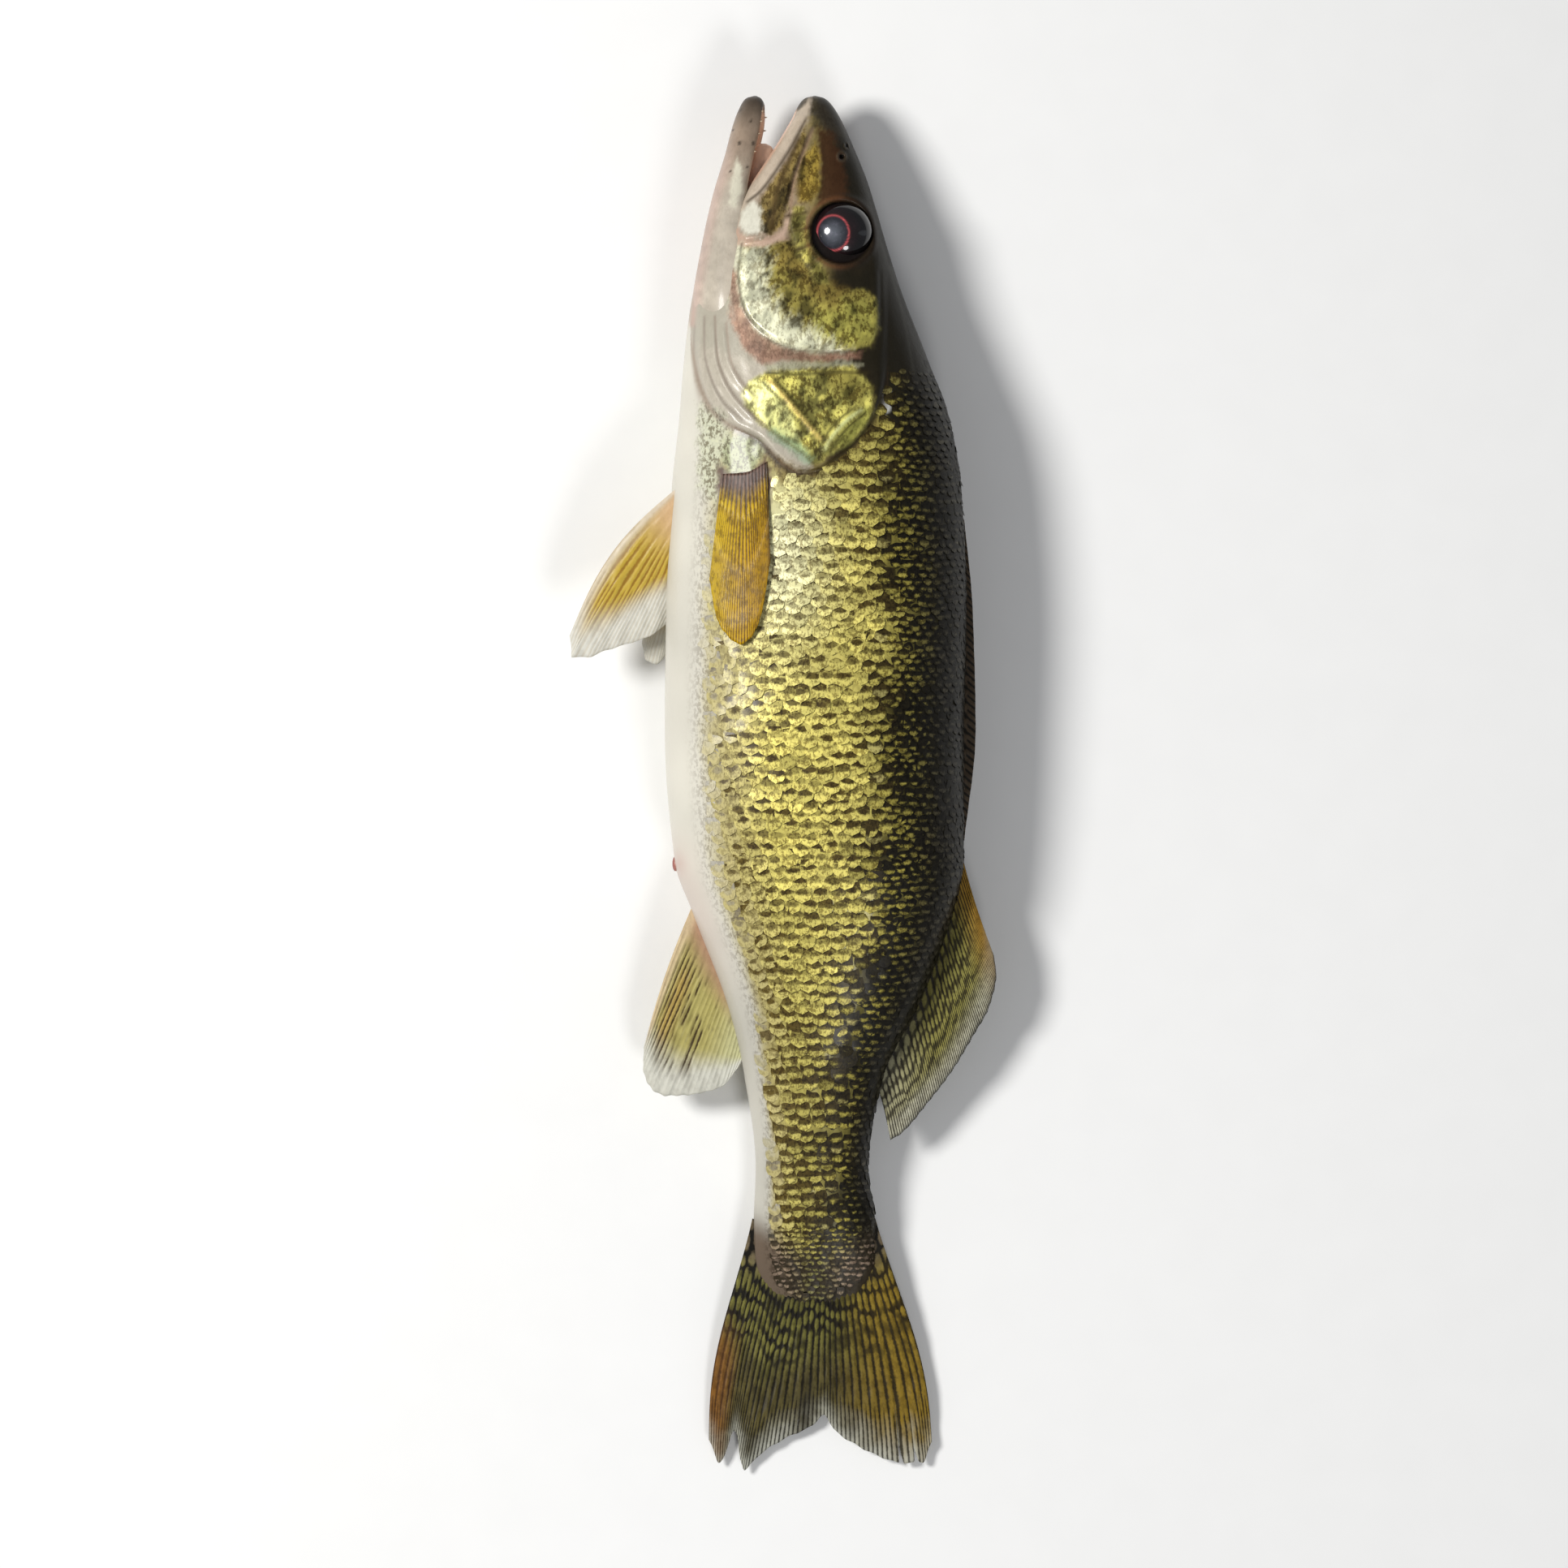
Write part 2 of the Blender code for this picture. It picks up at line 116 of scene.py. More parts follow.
# Distance to a run of straight stretches, and the share of the way along it.
def lineDistance(x, y, line):
    line = np.array(line, float)
    lengths = np.hypot(*np.diff(line, axis=0).T)
    best = np.full(np.shape(x), 1e9)
    share = np.zeros(np.shape(x))
    done = 0.0
    for (ax, ay), (bx, by), length in zip(line[:-1], line[1:], lengths):
        dx, dy = bx - ax, by - ay
        t = np.clip(((x - ax) * dx + (y - ay) * dy) / (length * length), 0.0, 1.0)
        far = np.hypot(x - ax - t * dx, y - ay - t * dy)
        nearer = far < best
        best = np.where(nearer, far, best)
        share = np.where(nearer, (done + t * length) / lengths.sum(), share)
        done += length
    return best, share


# Distance to a closed outline, positive inside it.
def insideDistance(x, y, outline):
    closed = list(outline) + [outline[0]]
    far, _ = lineDistance(x, y, closed)
    inside = np.zeros(np.shape(x), bool)
    for (ax, ay), (bx, by) in zip(closed[:-1], closed[1:]):
        if ay != by:
            crosses = ((ay > y) != (by > y)) & (x < ax + (y - ay) * (bx - ax) / (by - ay))
            inside ^= crosses
    return np.where(inside, far, -far)


# The same line with its corners rounded, as closer points.
def rounded(line, steps=6):
    line = np.array(line, float)
    along = np.concatenate([[0.0], np.cumsum(np.hypot(*np.diff(line, axis=0).T))])
    places = np.linspace(0.0, along[-1], steps * (len(line) - 1) + 1)
    x = smoothThrough(list(zip(along, line[:, 0])), places)
    y = smoothThrough(list(zip(along, line[:, 1])), places)
    return list(zip(x, y))


def nearLine(u, v, line, margin):
    line = np.array(line, float)
    low, high = line.min(0) - margin, line.max(0) + margin
    return (u > low[0]) & (u < high[0]) & (v > low[1]) & (v < high[1])


# 1 on a rounded line and 0 away from it, and the share of the way along it.
def strokeShare(u, v, line, width):
    strength, along = np.zeros(np.shape(u)), np.zeros(np.shape(u))
    close = nearLine(u, v, line, 4 * width)
    far, share = lineDistance(u[close], v[close], rounded(line))
    strength[close] = hump(far, 0.0, width)
    along[close] = share
    return strength, along


# 1 inside an outline and 0 outside it, with a soft wandering edge.
def fieldShare(u, v, outline, soft, seed):
    share = np.zeros(np.shape(u))
    close = nearLine(u, v, outline, 3 * soft)
    drift = soft * 0.5 * wobble(u[close], v[close], 26.0, seed)
    inside = insideDistance(u[close], v[close], outline) + drift
    share[close] = smoothStep(inside, -soft, soft)
    return share


# A smooth wandering value from about -1 to 1, the same each run.
def wobble(x, y, scale, seed):
    total = np.zeros(np.broadcast(x, y).shape)
    draw = np.random.default_rng(seed)
    for octave in range(4):
        angle, phase = draw.uniform(0, 2 * math.pi, 2)
        other = draw.uniform(0, 2 * math.pi)
        size = scale / 1.7**octave
        along = (x * math.cos(angle) + y * math.sin(angle)) / size
        aside = (y * math.cos(angle) - x * math.sin(angle)) / size
        total += np.sin(along * 2 * math.pi + phase + 1.3 * np.sin(aside * 2.1 + other))
    return total / 3.0


# Soft irregular patches from about -1 to 1, longer along the leaning direction.
def clouds(x, y, scale, seed, stretch=1.0, lean=0.0):
    along = (x * math.sin(lean) + y * math.cos(lean)) / stretch
    aside = x * math.cos(lean) - y * math.sin(lean)
    total = np.zeros(np.broadcast(x, y).shape)
    for octave in range(3):
        table = np.random.default_rng(seed + octave).uniform(-1, 1, (64, 64))
        u, v = aside * 2**octave / scale + 17.3, along * 2**octave / scale + 5.7
        i, j = np.floor(u).astype(int), np.floor(v).astype(int)
        fu, fv = smoothStep(u - i, 0, 1), smoothStep(v - j, 0, 1)
        i0, i1, j0, j1 = i % 64, (i + 1) % 64, j % 64, (j + 1) % 64
        first = table[i0, j0] * (1 - fu) + table[i1, j0] * fu
        second = table[i0, j1] * (1 - fu) + table[i1, j1] * fu
        total += (first * (1 - fv) + second * fv) / 1.5**octave
    return total


def newObject(name, data):
    thing = bpy.data.objects.new(name, data)
    bpy.context.scene.collection.objects.link(thing)
    return thing


# A mesh in metres from points in millimetres, with its own colour and number attributes.
def meshPiece(name, points, faces, finish, colours=None, values=None, smooth=True, uv=None):
    mesh = bpy.data.meshes.new(name)
    mesh.from_pydata((np.asarray(points, float) * mm).tolist(), [], faces)
    for label, rgb in (colours or {}).items():
        layer = mesh.attributes.new(label, "FLOAT_COLOR", "POINT")
        full = np.ones((len(points), 4), np.float32)
        full[:, :3] = rgb
        layer.data.foreach_set("color", full.ravel())
    for label, number in (values or {}).items():
        layer = mesh.attributes.new(label, "FLOAT", "POINT")
        spread = np.broadcast_to(np.asarray(number, np.float32), (len(points),))
        layer.data.foreach_set("value", np.ascontiguousarray(spread))
    if uv is not None:
        layer = mesh.uv_layers.new(name="across")
        corners = np.zeros(len(mesh.loops), np.int32)
        mesh.loops.foreach_get("vertex_index", corners)
        layer.data.foreach_set("uv", np.asarray(uv, np.float32)[corners].ravel())
    piece = newObject(name, mesh)
    mesh.materials.append(finish)
    if smooth:
        mesh.shade_smooth()
    return piece


def faceOutwards(piece):
    work = bmesh.new()
    work.from_mesh(piece.data)
    bmesh.ops.recalc_face_normals(work, faces=work.faces)
    work.to_mesh(piece.data)
    work.free()


# Hangs a finished piece under the root empty and hides the named solids.
def place(piece, slotName, *nodes):
    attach(piece, root)
    if nodes:
        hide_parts(*nodes)


# Ring points and, after them, the middles of the first and the last ring.
def withHubs(points, sides):
    return np.vstack([points, points[:sides].mean(0), points[-sides:].mean(0)])


# Quads over rings of one size, and a fan on the hub point added after each end.
def ringFaces(rings, sides):
    i, k = np.meshgrid(np.arange(rings - 1), np.arange(sides), indexing="ij")
    after = (k + 1) % sides
    quads = np.stack(
        [i * sides + k, (i + 1) * sides + k, (i + 1) * sides + after, i * sides + after], -1
    )
    faces = quads.reshape(-1, 4).tolist()
    count = rings * sides
    for s in range(sides):
        faces.append([s, (s + 1) % sides, count])
        faces.append([count - sides + (s + 1) % sides, count - sides + s, count + 1])
    return faces


# The body's own measures, the same as the solid's.
body = {
    "sections": (
        (230.0, 10.0, 10.6, 0.3, 2.2), (229.2, 7.0, 13.5, 3.6, 2.2), (226.5, 4.6, 16.3, 6.4, 2.3),
        (221.1, 1.1, 19.5, 9.2, 2.4), (213.5, -3.8, 22.9, 12.0, 2.5),
        (202.0, -11.9, 27.6, 15.6, 2.6), (191.8, -17.6, 30.8, 18.2, 2.7),
        (180.0, -23.5, 34.2, 20.8, 2.6), (164.2, -30.3, 39.3, 23.6, 2.4),
        (142.5, -33.3, 47.7, 26.6, 2.3), (120.8, -35.1, 55.4, 28.6, 2.2),
        (99.2, -37.4, 59.0, 29.8, 2.15), (60.0, -39.3, 60.8, 31.3, 2.1),
        (17.9, -39.8, 60.0, 31.0, 2.1), (-26.5, -36.4, 59.8, 27.4, 2.1),
        (-42.0, -30.9, 56.6, 24.6, 2.1), (-76.7, -18.0, 43.6, 17.8, 2.1),
        (-97.3, -13.3, 33.2, 13.8, 2.1), (-128.4, -9.5, 28.2, 10.2, 2.1),
        (-148.0, -10.2, 30.6, 7.8, 2.0), (-160.0, -9.6, 30.4, 4.6, 2.0),
        (-170.0, -4.8, 25.8, 2.3, 2.0), (-176.0, 2.0, 19.0, 1.1, 2.0),
    ),
    "midHeights": (
        (-230.0, 3.2), (-190.0, 5.6), (-155.0, 9.6), (-128.0, 13.2), (-97.0, 17.2), (-42.0, 24.4),
        (0.0, 28.2), (60.0, 29.6), (110.0, 28.7), (142.5, 26.8), (183.0, 24.6), (230.0, 22.4),
    ),
    "lateralLine": (
        (150.0, 36.0), (126.0, 33.8), (60.0, 32.6), (-9.0, 30.4), (-80.0, 22.0), (-150.0, 13.5),
    ),
    "headStep": 0.62,
    "headEnd": 97.0,
    "trunkStep": 2.6,
    "turns": (200, 100),
    "palate": (226, 190, 164),
    # painted highlight of the flank, a pale patch where the lamp shines on it, in pixels: place and
    # sizes
    "paintedHighlight": (965, 680, 52, 110),
    # dusky patches of the flank in pixels: place and size
    "blotches": (
        (1078, 585, 44), (1050, 545, 30), (1086, 720, 34), (1110, 860, 34), (1100, 965, 30),
        (1090, 1045, 28), (1078, 1190, 26), (1040, 1300, 22),
    ),
}


def column(rows, index):
    return [(row[0], row[index]) for row in rows]


# Belly edge, back edge, half thickness and squareness of the body at y.
def bodyAt(y):
    return [smoothThrough(column(body["sections"], k), y) for k in (1, 2, 3, 4)]


def midHeight(y):
    return smoothThrough(body["midHeights"], y)


def signedPower(value, power):
    return np.sign(value) * np.abs(value) ** power


# Half thickness of the body over a place on its side.
def sideHeight(x, y):
    low, high, half, square = bodyAt(y)
    across = np.clip(np.abs(x - (low + high) / 2) / ((high - low) / 2), 0.0, 1.0)
    return half * (1 - across**square) ** (1 / square)


# Plates and marks of the head, which stand out of it or are sunk in it.
head = {
    "gillEdge": (
        (-31.5, 156.0), (-27.6, 134.4), (-23.3, 124.9), (-16.5, 119.2), (-8.4, 115.1),
        (-0.3, 106.7), (5.1, 103.8), (9.2, 104.0), (16.0, 107.3), (22.8, 113.2),
        (28.7, 120.8), (32.2, 128.9), (35.0, 142.0),
    ),
    "gillStep": 1.9,
    "gillReach": 22.0,
    "cheekEdge": (
        (-16.5, 180.0), (-14.3, 161.5), (-10.3, 153.3), (-4.3, 148.5), (3.8, 144.9),
        (11.9, 143.6), (21.4, 144.4), (28.7, 146.8), (31.6, 153.3), (32.6, 166.0),
    ),
    "cheekStep": 1.1,
    "cheekReach": 14.0,
    "upperJaw": (
        (12.5, 224.0), (4.0, 224.0), (-4.4, 213.0), (-12.9, 201.5), (-18.4, 191.0),
        (-17.6, 183.6), (-13.0, 180.2), (-8.0, 180.8), (-3.0, 184.6), (1.2, 195.0),
        (5.4, 208.0), (9.6, 218.0),
    ),
    "upperJawStep": 1.3,
    "eye": (19.0, 183.6),
    "orbitRadius": 11.3,
    "orbitHeight": 0.7,
    "ridges": (
        # line in pixels, half width in pixels, height in millimetres
        (((948, 470), (966, 489), (986, 513), (1010, 541)), 3.0, 0.55),
        (((1062, 506), (1042, 521), (1028, 538), (1017, 556)), 3.0, 0.5),
        (((952, 466), (985, 460), (1030, 457), (1060, 458)), 2.6, 0.4),
        (((854, 402), (852, 432), (861, 480), (873, 502)), 3.2, 0.5),
        (((865, 392), (864, 432), (873, 469), (888, 498), (910, 521)), 3.4, 0.6),
        (((877, 392), (880, 440), (892, 475), (912, 503), (938, 527)), 3.6, 0.6),
        (((890, 400), (894, 440), (908, 470), (930, 495)), 3.4, 0.4),
        (((1010, 176), (1013, 205), (1009, 236), (1002, 256)), 3.0, 0.35),
        (((973, 262), (981, 290), (992, 316), (1010, 344)), 4.0, 0.45),
    ),
    "grooves": (
        (((993, 146), (978, 176), (960, 205), (937, 236), (921, 249)), 2.6, 0.6),
        (((1000, 160), (988, 190), (977, 225), (970, 262), (962, 288)), 3.0, 0.55),
        (((1084, 330), (1085, 400), (1080, 440)), 3.0, 0.35),
        (((868, 210), (862, 280), (858, 350), (853, 400)), 3.0, 0.5),
        (((886, 210), (884, 260), (880, 320), (878, 380)), 3.0, 0.45),
    ),
    "nostrils": (((1037, 194), 4.2, 1.1), ((1043, 180), 2.4, 0.6)),
}


# A plate that ends in a free edge and dies away towards the head.
def flap(x, y, edge, step, reach):
    edgeY = smoothThrough(edge, x)
    lean = smoothThrough(edge, x + 0.5) - smoothThrough(edge, x - 0.5)
    ahead = (y - edgeY) / np.sqrt(1 + lean * lean)
    inside = smoothStep(x, edge[0][0], edge[0][0] + 4) * (
        1 - smoothStep(x, edge[-1][0] - 4, edge[-1][0])
    )
    rise = smoothStep(ahead, -0.35, 0.8) * np.exp(-np.maximum(ahead, 0) / reach)
    return step * inside * rise, np.where(inside > 0.02, ahead, 99.0)


# How far the plates and marks stand out of the side at each place.
def skinRelief(x, y):
    height, _ = flap(x, y, head["gillEdge"], head["gillStep"], head["gillReach"])
    cheek, _ = flap(x, y, head["cheekEdge"], head["cheekStep"], head["cheekReach"])
    height = height + cheek
    jaw = insideDistance(x, y, head["upperJaw"])
    height += head["upperJawStep"] * smoothStep(jaw, -0.5, 1.3)
    u, v = toPicture(x, y)
    for line, width, rise in head["ridges"]:
        stroke, share = strokeShare(u, v, line, width)
        fade = smoothStep(share, 0.0, 0.12) * (1 - 0.8 * smoothStep(share, 0.85, 1.0))
        height += rise * fade * stroke
    for line, width, depth in head["grooves"]:
        stroke, share = strokeShare(u, v, line, width)
        height -= depth * smoothStep(share, 0.0, 0.1) * (1 - smoothStep(share, 0.9, 1.0)) * stroke
    for (nu, nv), radius, depth in head["nostrils"]:
        far = np.hypot(u - nu, v - nv)
        height -= depth * (1 - smoothStep(far, 0.4 * radius, radius))
        height += 0.35 * hump(far, 1.25 * radius, 0.4 * radius)
    ex, ey = head["eye"]
    ring = np.hypot(x - ex, y - ey)
    height += head["orbitHeight"] * hump(ring - head["orbitRadius"], 0.6, 1.1)
    height -= 2.4 * (1 - smoothStep(ring, head["orbitRadius"] - 1.6, head["orbitRadius"] - 0.4))
    onHead = smoothStep(y, 98.0, 104.0)
    return height * onHead + 0.18 * wobble(x, y, 26.0, 5) * (1 - onHead * 0.4)


# Colours of the skin, as screen values.
skinColours = {
    "belly": (210, 206, 193),
    "bellyPink": (200, 176, 166),
    "lowFlank": (186, 174, 118),
    # painted highlight colour of the flank
    "flank": (238, 224, 122),
    "flankPaintedHighlight": (250, 248, 200),
    "flankDark": (84, 70, 30),
    "backDot": (172, 160, 74),
    "backFar": (70, 66, 54),
    "backDark": (26, 23, 13),
    "tailRootPale": (150, 130, 112),
    "tailRootOlive": (120, 116, 66),
    "tailRootDark": (52, 44, 30),
}


# 0 on the belly edge and 1 on the back edge.
def flankShare(x, y):
    low, high, _, _ = bodyAt(y)
    return (x - low) / (high - low)


# How far towards the tail, bent as the end of the scales is.
def tailBorder(u, v):
    return v + 0.25 * np.abs(u - 1000) + 0.45 * np.maximum(985 - u, 0)


# Pale colour, dark colour and size of the pale spot of a scale at each place.
def flankColours(x, y):
    c = {name: linear(*rgb) for name, rgb in skinColours.items()}
    t = flankShare(x, y) + 0.01 * wobble(x, y, 34.0, 11)
    u, v = toPicture(x, y)
    rear = smoothStep(v, 1000.0, 1420.0)
    overLine = (x - smoothThrough(body["lateralLine"], y)) / 10.0
    pale = blend(c["belly"], c["lowFlank"], smoothStep(t, 0.1, 0.17))
    pale = blend(pale, c["flank"], smoothStep(t, 0.17, 0.38))
    # painted highlight: the scales' pale colour goes nearly white where the lamp shines on the
    # flank
    paintedHighlight = softSpot(u, v, *body["paintedHighlight"])
    pale = blend(pale, c["flankPaintedHighlight"], 0.95 * paintedHighlight)
    pale = pale * (1 - 0.4 * rear * smoothStep(t, 0.16, 0.36))[..., None]
    backness = smoothStep(overLine + 0.35 * clouds(x, y, 14.0, 67), -1.3 - 0.5 * rear, 1.0)
    pale = blend(pale, c["backDot"], smoothStep(backness, 0.1, 1.0))
    pale = blend(pale, c["backFar"], smoothStep(t, 0.76, 0.93))
    dark = blend(c["belly"] * 0.8, c["flankDark"] * 1.3, smoothStep(t, 0.13, 0.2))
    dark = blend(dark, c["flankDark"], smoothStep(t, 0.2, 0.34))
    dark = blend(dark, c["backDark"], backness)
    spot = 1.7 - 0.62 * rear * smoothStep(t, 0.12, 0.22) - 1.1 * backness * (1 - 0.45 * rear)
    blotches = np.zeros(np.shape(x))
    for bu, bv, size in body["blotches"]:
        blotches += softSpot(u, v, bu, bv, size, size * 0.9)
    blotches = np.clip(blotches, 0, 1) + 0.35 * clouds(x, y, 30.0, 61)
    spot = spot - 0.45 * np.maximum(blotches, 0)
    pale = pale * (1 - 0.25 * blotches)[..., None]
    ending = smoothStep(tailBorder(u, v), 1528.0, 1572.0)
    rootPale = blend(c["tailRootPale"], c["tailRootOlive"], hump(u, 1005, 26))
    pale = blend(pale, rootPale, ending)
    dark = blend(dark, c["tailRootDark"], smoothStep(tailBorder(u, v), 1515.0, 1565.0))
    spot = spot * (1 - ending) + 0.62 * ending
    shaded = smoothStep(v, 1120.0, 1330.0) * (1 - smoothStep(t, 0.12, 0.2))
    pale = pale * (1 - 0.27 * shaded)[..., None]
    pink = smoothStep(v, 1000.0, 1080.0) * (1 - smoothStep(v, 1120.0, 1260.0))
    pale = blend(pale, c["bellyPink"], 0.6 * (pink * (1 - smoothStep(t, 0.0, 0.14))))
    return pale, dark, spot


# Strength and half width of the dark mark in the pocket ahead of each scale.
def smudges(x, y):
    t = flankShare(x, y) + 0.01 * wobble(x, y, 34.0, 11)
    u, v = toPicture(x, y)
    # under the painted highlight the pocket marks are fainter and narrower
    paintedHighlight = softSpot(u, v, *body["paintedHighlight"])
    wide = 1.5 + 1.2 * smoothStep(t, 0.16, 0.34) - 0.6 * paintedHighlight + 0.4 * clouds(x, y, 9.0, 31)
    strength = smoothStep(t, 0.12, 0.19) * (1 - 0.45 * paintedHighlight)
    return np.clip(strength, 0, 1), np.maximum(wide, 0.5)


# Colour fields of the head: outline in pixels, softness, colour, strength, speckle.
headFields = {
    "cheek": (
        (
            (914, 302), (910, 339), (914, 374), (930, 404), (956, 424), (998, 434), (1043, 434),
            (1072, 427), (1082, 406), (1079, 369), (1064, 359), (1028, 361), (1013, 339),
            (998, 317), (976, 300), (947, 300),
        ),
        4.0, (160, 148, 74), 1.0, 0.95,
    ),
    "cheekGreen": (
        ((1000, 390), (1040, 372), (1078, 374), (1082, 406), (1070, 426), (1030, 432), (1000, 425)),
        9.0, (164, 160, 78), 0.75, 1.0,
    ),
    "cheekDark": (
        (
            (945, 300), (978, 300), (1002, 322), (1024, 352), (1044, 362), (1030, 384),
            (1000, 366), (975, 345), (955, 330),
        ),
        11.0, (112, 92, 42), 0.7, 0.95,
    ),
    "cheekPale": (
        (
            (905, 300), (944, 308), (944, 350), (962, 388), (1010, 416), (1040, 438), (985, 440),
            (940, 425), (905, 380),
        ),
        15.0, (238, 238, 206), 0.95, 0.6,
    ),
    "cheekBand": (
        (
            (899, 330), (909, 338), (912, 376), (930, 408), (960, 429), (1000, 438), (1060, 436),
            (1060, 444), (1000, 449), (968, 447), (940, 452), (916, 432), (899, 395),
        ),
        4.0, (150, 112, 92), 0.85, 0.55,
    ),
    "plateTop": (
        ((944, 452), (975, 449), (1040, 449), (1062, 452), (1050, 458), (985, 460), (948, 466)),
        4.0, (180, 178, 148), 0.8, 0.45,
    ),
    "gillMembrane": (
        (
            (905, 440), (944, 458), (917, 484), (921, 503), (936, 523), (961, 541), (991, 562),
            (1002, 580), (985, 592), (955, 575), (930, 550), (900, 532), (874, 510), (858, 470),
            (862, 425),
        ),
        5.0, (184, 176, 160), 0.9, 0.15,
    ),
    "opercle": (
        (
            (917, 484), (924, 473), (943, 461), (987, 458), (1050, 454), (1073, 480), (1076, 506),
            (1069, 526), (1050, 548), (1021, 562), (1006, 576), (991, 562), (961, 541), (936, 523),
            (921, 503),
        ),
        4.0, (206, 198, 104), 1.0, 1.0,
    ),
    "opercleBright": (
        (
            (917, 484), (930, 470), (950, 474), (972, 508), (986, 540), (983, 556), (961, 539),
            (936, 521), (919, 500),
        ),
        5.0, (238, 238, 158), 0.9, 0.75,
    ),
    "opercleTeal": (
        ((950, 528), (985, 545), (1004, 566), (998, 576), (972, 556), (948, 538)), 5.0,
        (142, 176, 140), 0.7, 0.5,
    ),
    "opercleRear": (
        ((1062, 505), (1074, 505), (1068, 526), (1048, 548), (1022, 560), (1030, 540)), 6.0,
        (160, 160, 76), 0.8, 0.6,
    ),
    "opercleTop": (
        ((1000, 458), (1050, 454), (1073, 480), (1060, 500), (1030, 490)), 8.0, (96, 84, 34), 0.7,
        0.9,
    ),
    "nape": (
        (
            (1004, 112), (1012, 150), (1036, 172), (1044, 215), (1046, 246), (1076, 262),
            (1080, 300), (1074, 330), (1060, 340), (1040, 336), (1026, 344), (1046, 352),
            (1072, 358), (1080, 366), (1083, 406), (1076, 432), (1060, 444), (1072, 460),
            (1082, 492), (1090, 520), (1110, 560), (1240, 600), (1240, 90), (1004, 90),
        ),
        5.0, (34, 30, 19), 1.0, 0.15,
    ),
    "snout": (
        (
            (960, 100), (1060, 100), (1060, 160), (1030, 176), (1008, 156), (994, 136), (975, 148),
            (960, 160),
        ),
        8.0, (58, 52, 42), 0.9, 0.4,
    ),
    "bridge": (
        ((1006, 156), (1026, 165), (1040, 200), (1044, 240), (1034, 250), (1006, 256), (1010, 220)),
        6.0, (66, 42, 24), 0.95, 0.2,
    ),
    "lip": (
        (
            (1000, 118), (980, 140), (952, 178), (920, 222), (900, 250), (899, 268), (915, 262),
            (934, 244), (958, 214), (980, 176), (996, 148),
        ),
        4.5, (198, 182, 162), 0.95, 0.15,
    ),
    "jawBone": (
        (
            (990, 160), (973, 196), (945, 232), (935, 250), (935, 288), (950, 291), (963, 282),
            (972, 250), (980, 215), (994, 176),
        ),
        4.0, (124, 106, 56), 0.95, 0.95,
    ),
    "jawBonePale": (
        ((913, 262), (930, 248), (938, 262), (938, 288), (920, 291), (911, 280)), 4.0,
        (222, 219, 202), 0.95, 0.1,
    ),
    "jawBoneRim": (
        (
            (898, 262), (908, 262), (912, 290), (940, 298), (962, 288), (966, 296), (940, 306),
            (905, 298),
        ),
        4.0, (186, 156, 136), 0.9, 0.1,
    ),
    "tearBone": (
        ((1004, 176), (1010, 196), (1010, 232), (1000, 251), (984, 250), (981, 226), (988, 196)),
        4.0, (146, 124, 52), 0.95, 0.95,
    ),
    "underEye": (
        (
            (972, 258), (990, 256), (998, 300), (1014, 330), (1020, 352), (1004, 350), (984, 318),
            (972, 290),
        ),
        3.5, (186, 176, 92), 0.95, 0.9,
    ),
    "shoulderDots": (
        ((862, 500), (890, 512), (905, 545), (890, 570), (885, 620), (862, 600)), 8.0,
        (196, 198, 172), 0.85, 1.0,
    ),
    "finRoot": (
        ((893, 545), (915, 536), (938, 545), (940, 566), (925, 590), (900, 592), (891, 570)), 6.0,
        (160, 166, 128), 0.9, 1.0,
    ),
    "finRootDark": (
        ((884, 574), (905, 588), (930, 584), (944, 560), (954, 596), (946, 632), (884, 632)), 5.0,
        (92, 66, 58), 0.95, 0.3,
    ),
    # painted shadow: a darker brown band just behind the gill cover's rear edge
    "gillCoverShadow": (
        (
            (944, 556), (990, 582), (1030, 572), (1060, 545), (1080, 518), (1086, 540),
            (1060, 580), (1010, 600), (960, 600),
        ),
        6.0, (120, 100, 50), 0.8, 0.8,
    ),
    # painted highlight: a small silvery glint of a wet spot behind the head
    "paintedGlint": (
        ((1090, 480), (1100, 488), (1098, 506), (1090, 514), (1086, 498)), 2.5, (206, 206, 200),
        0.85, 0.3,
    ),
}
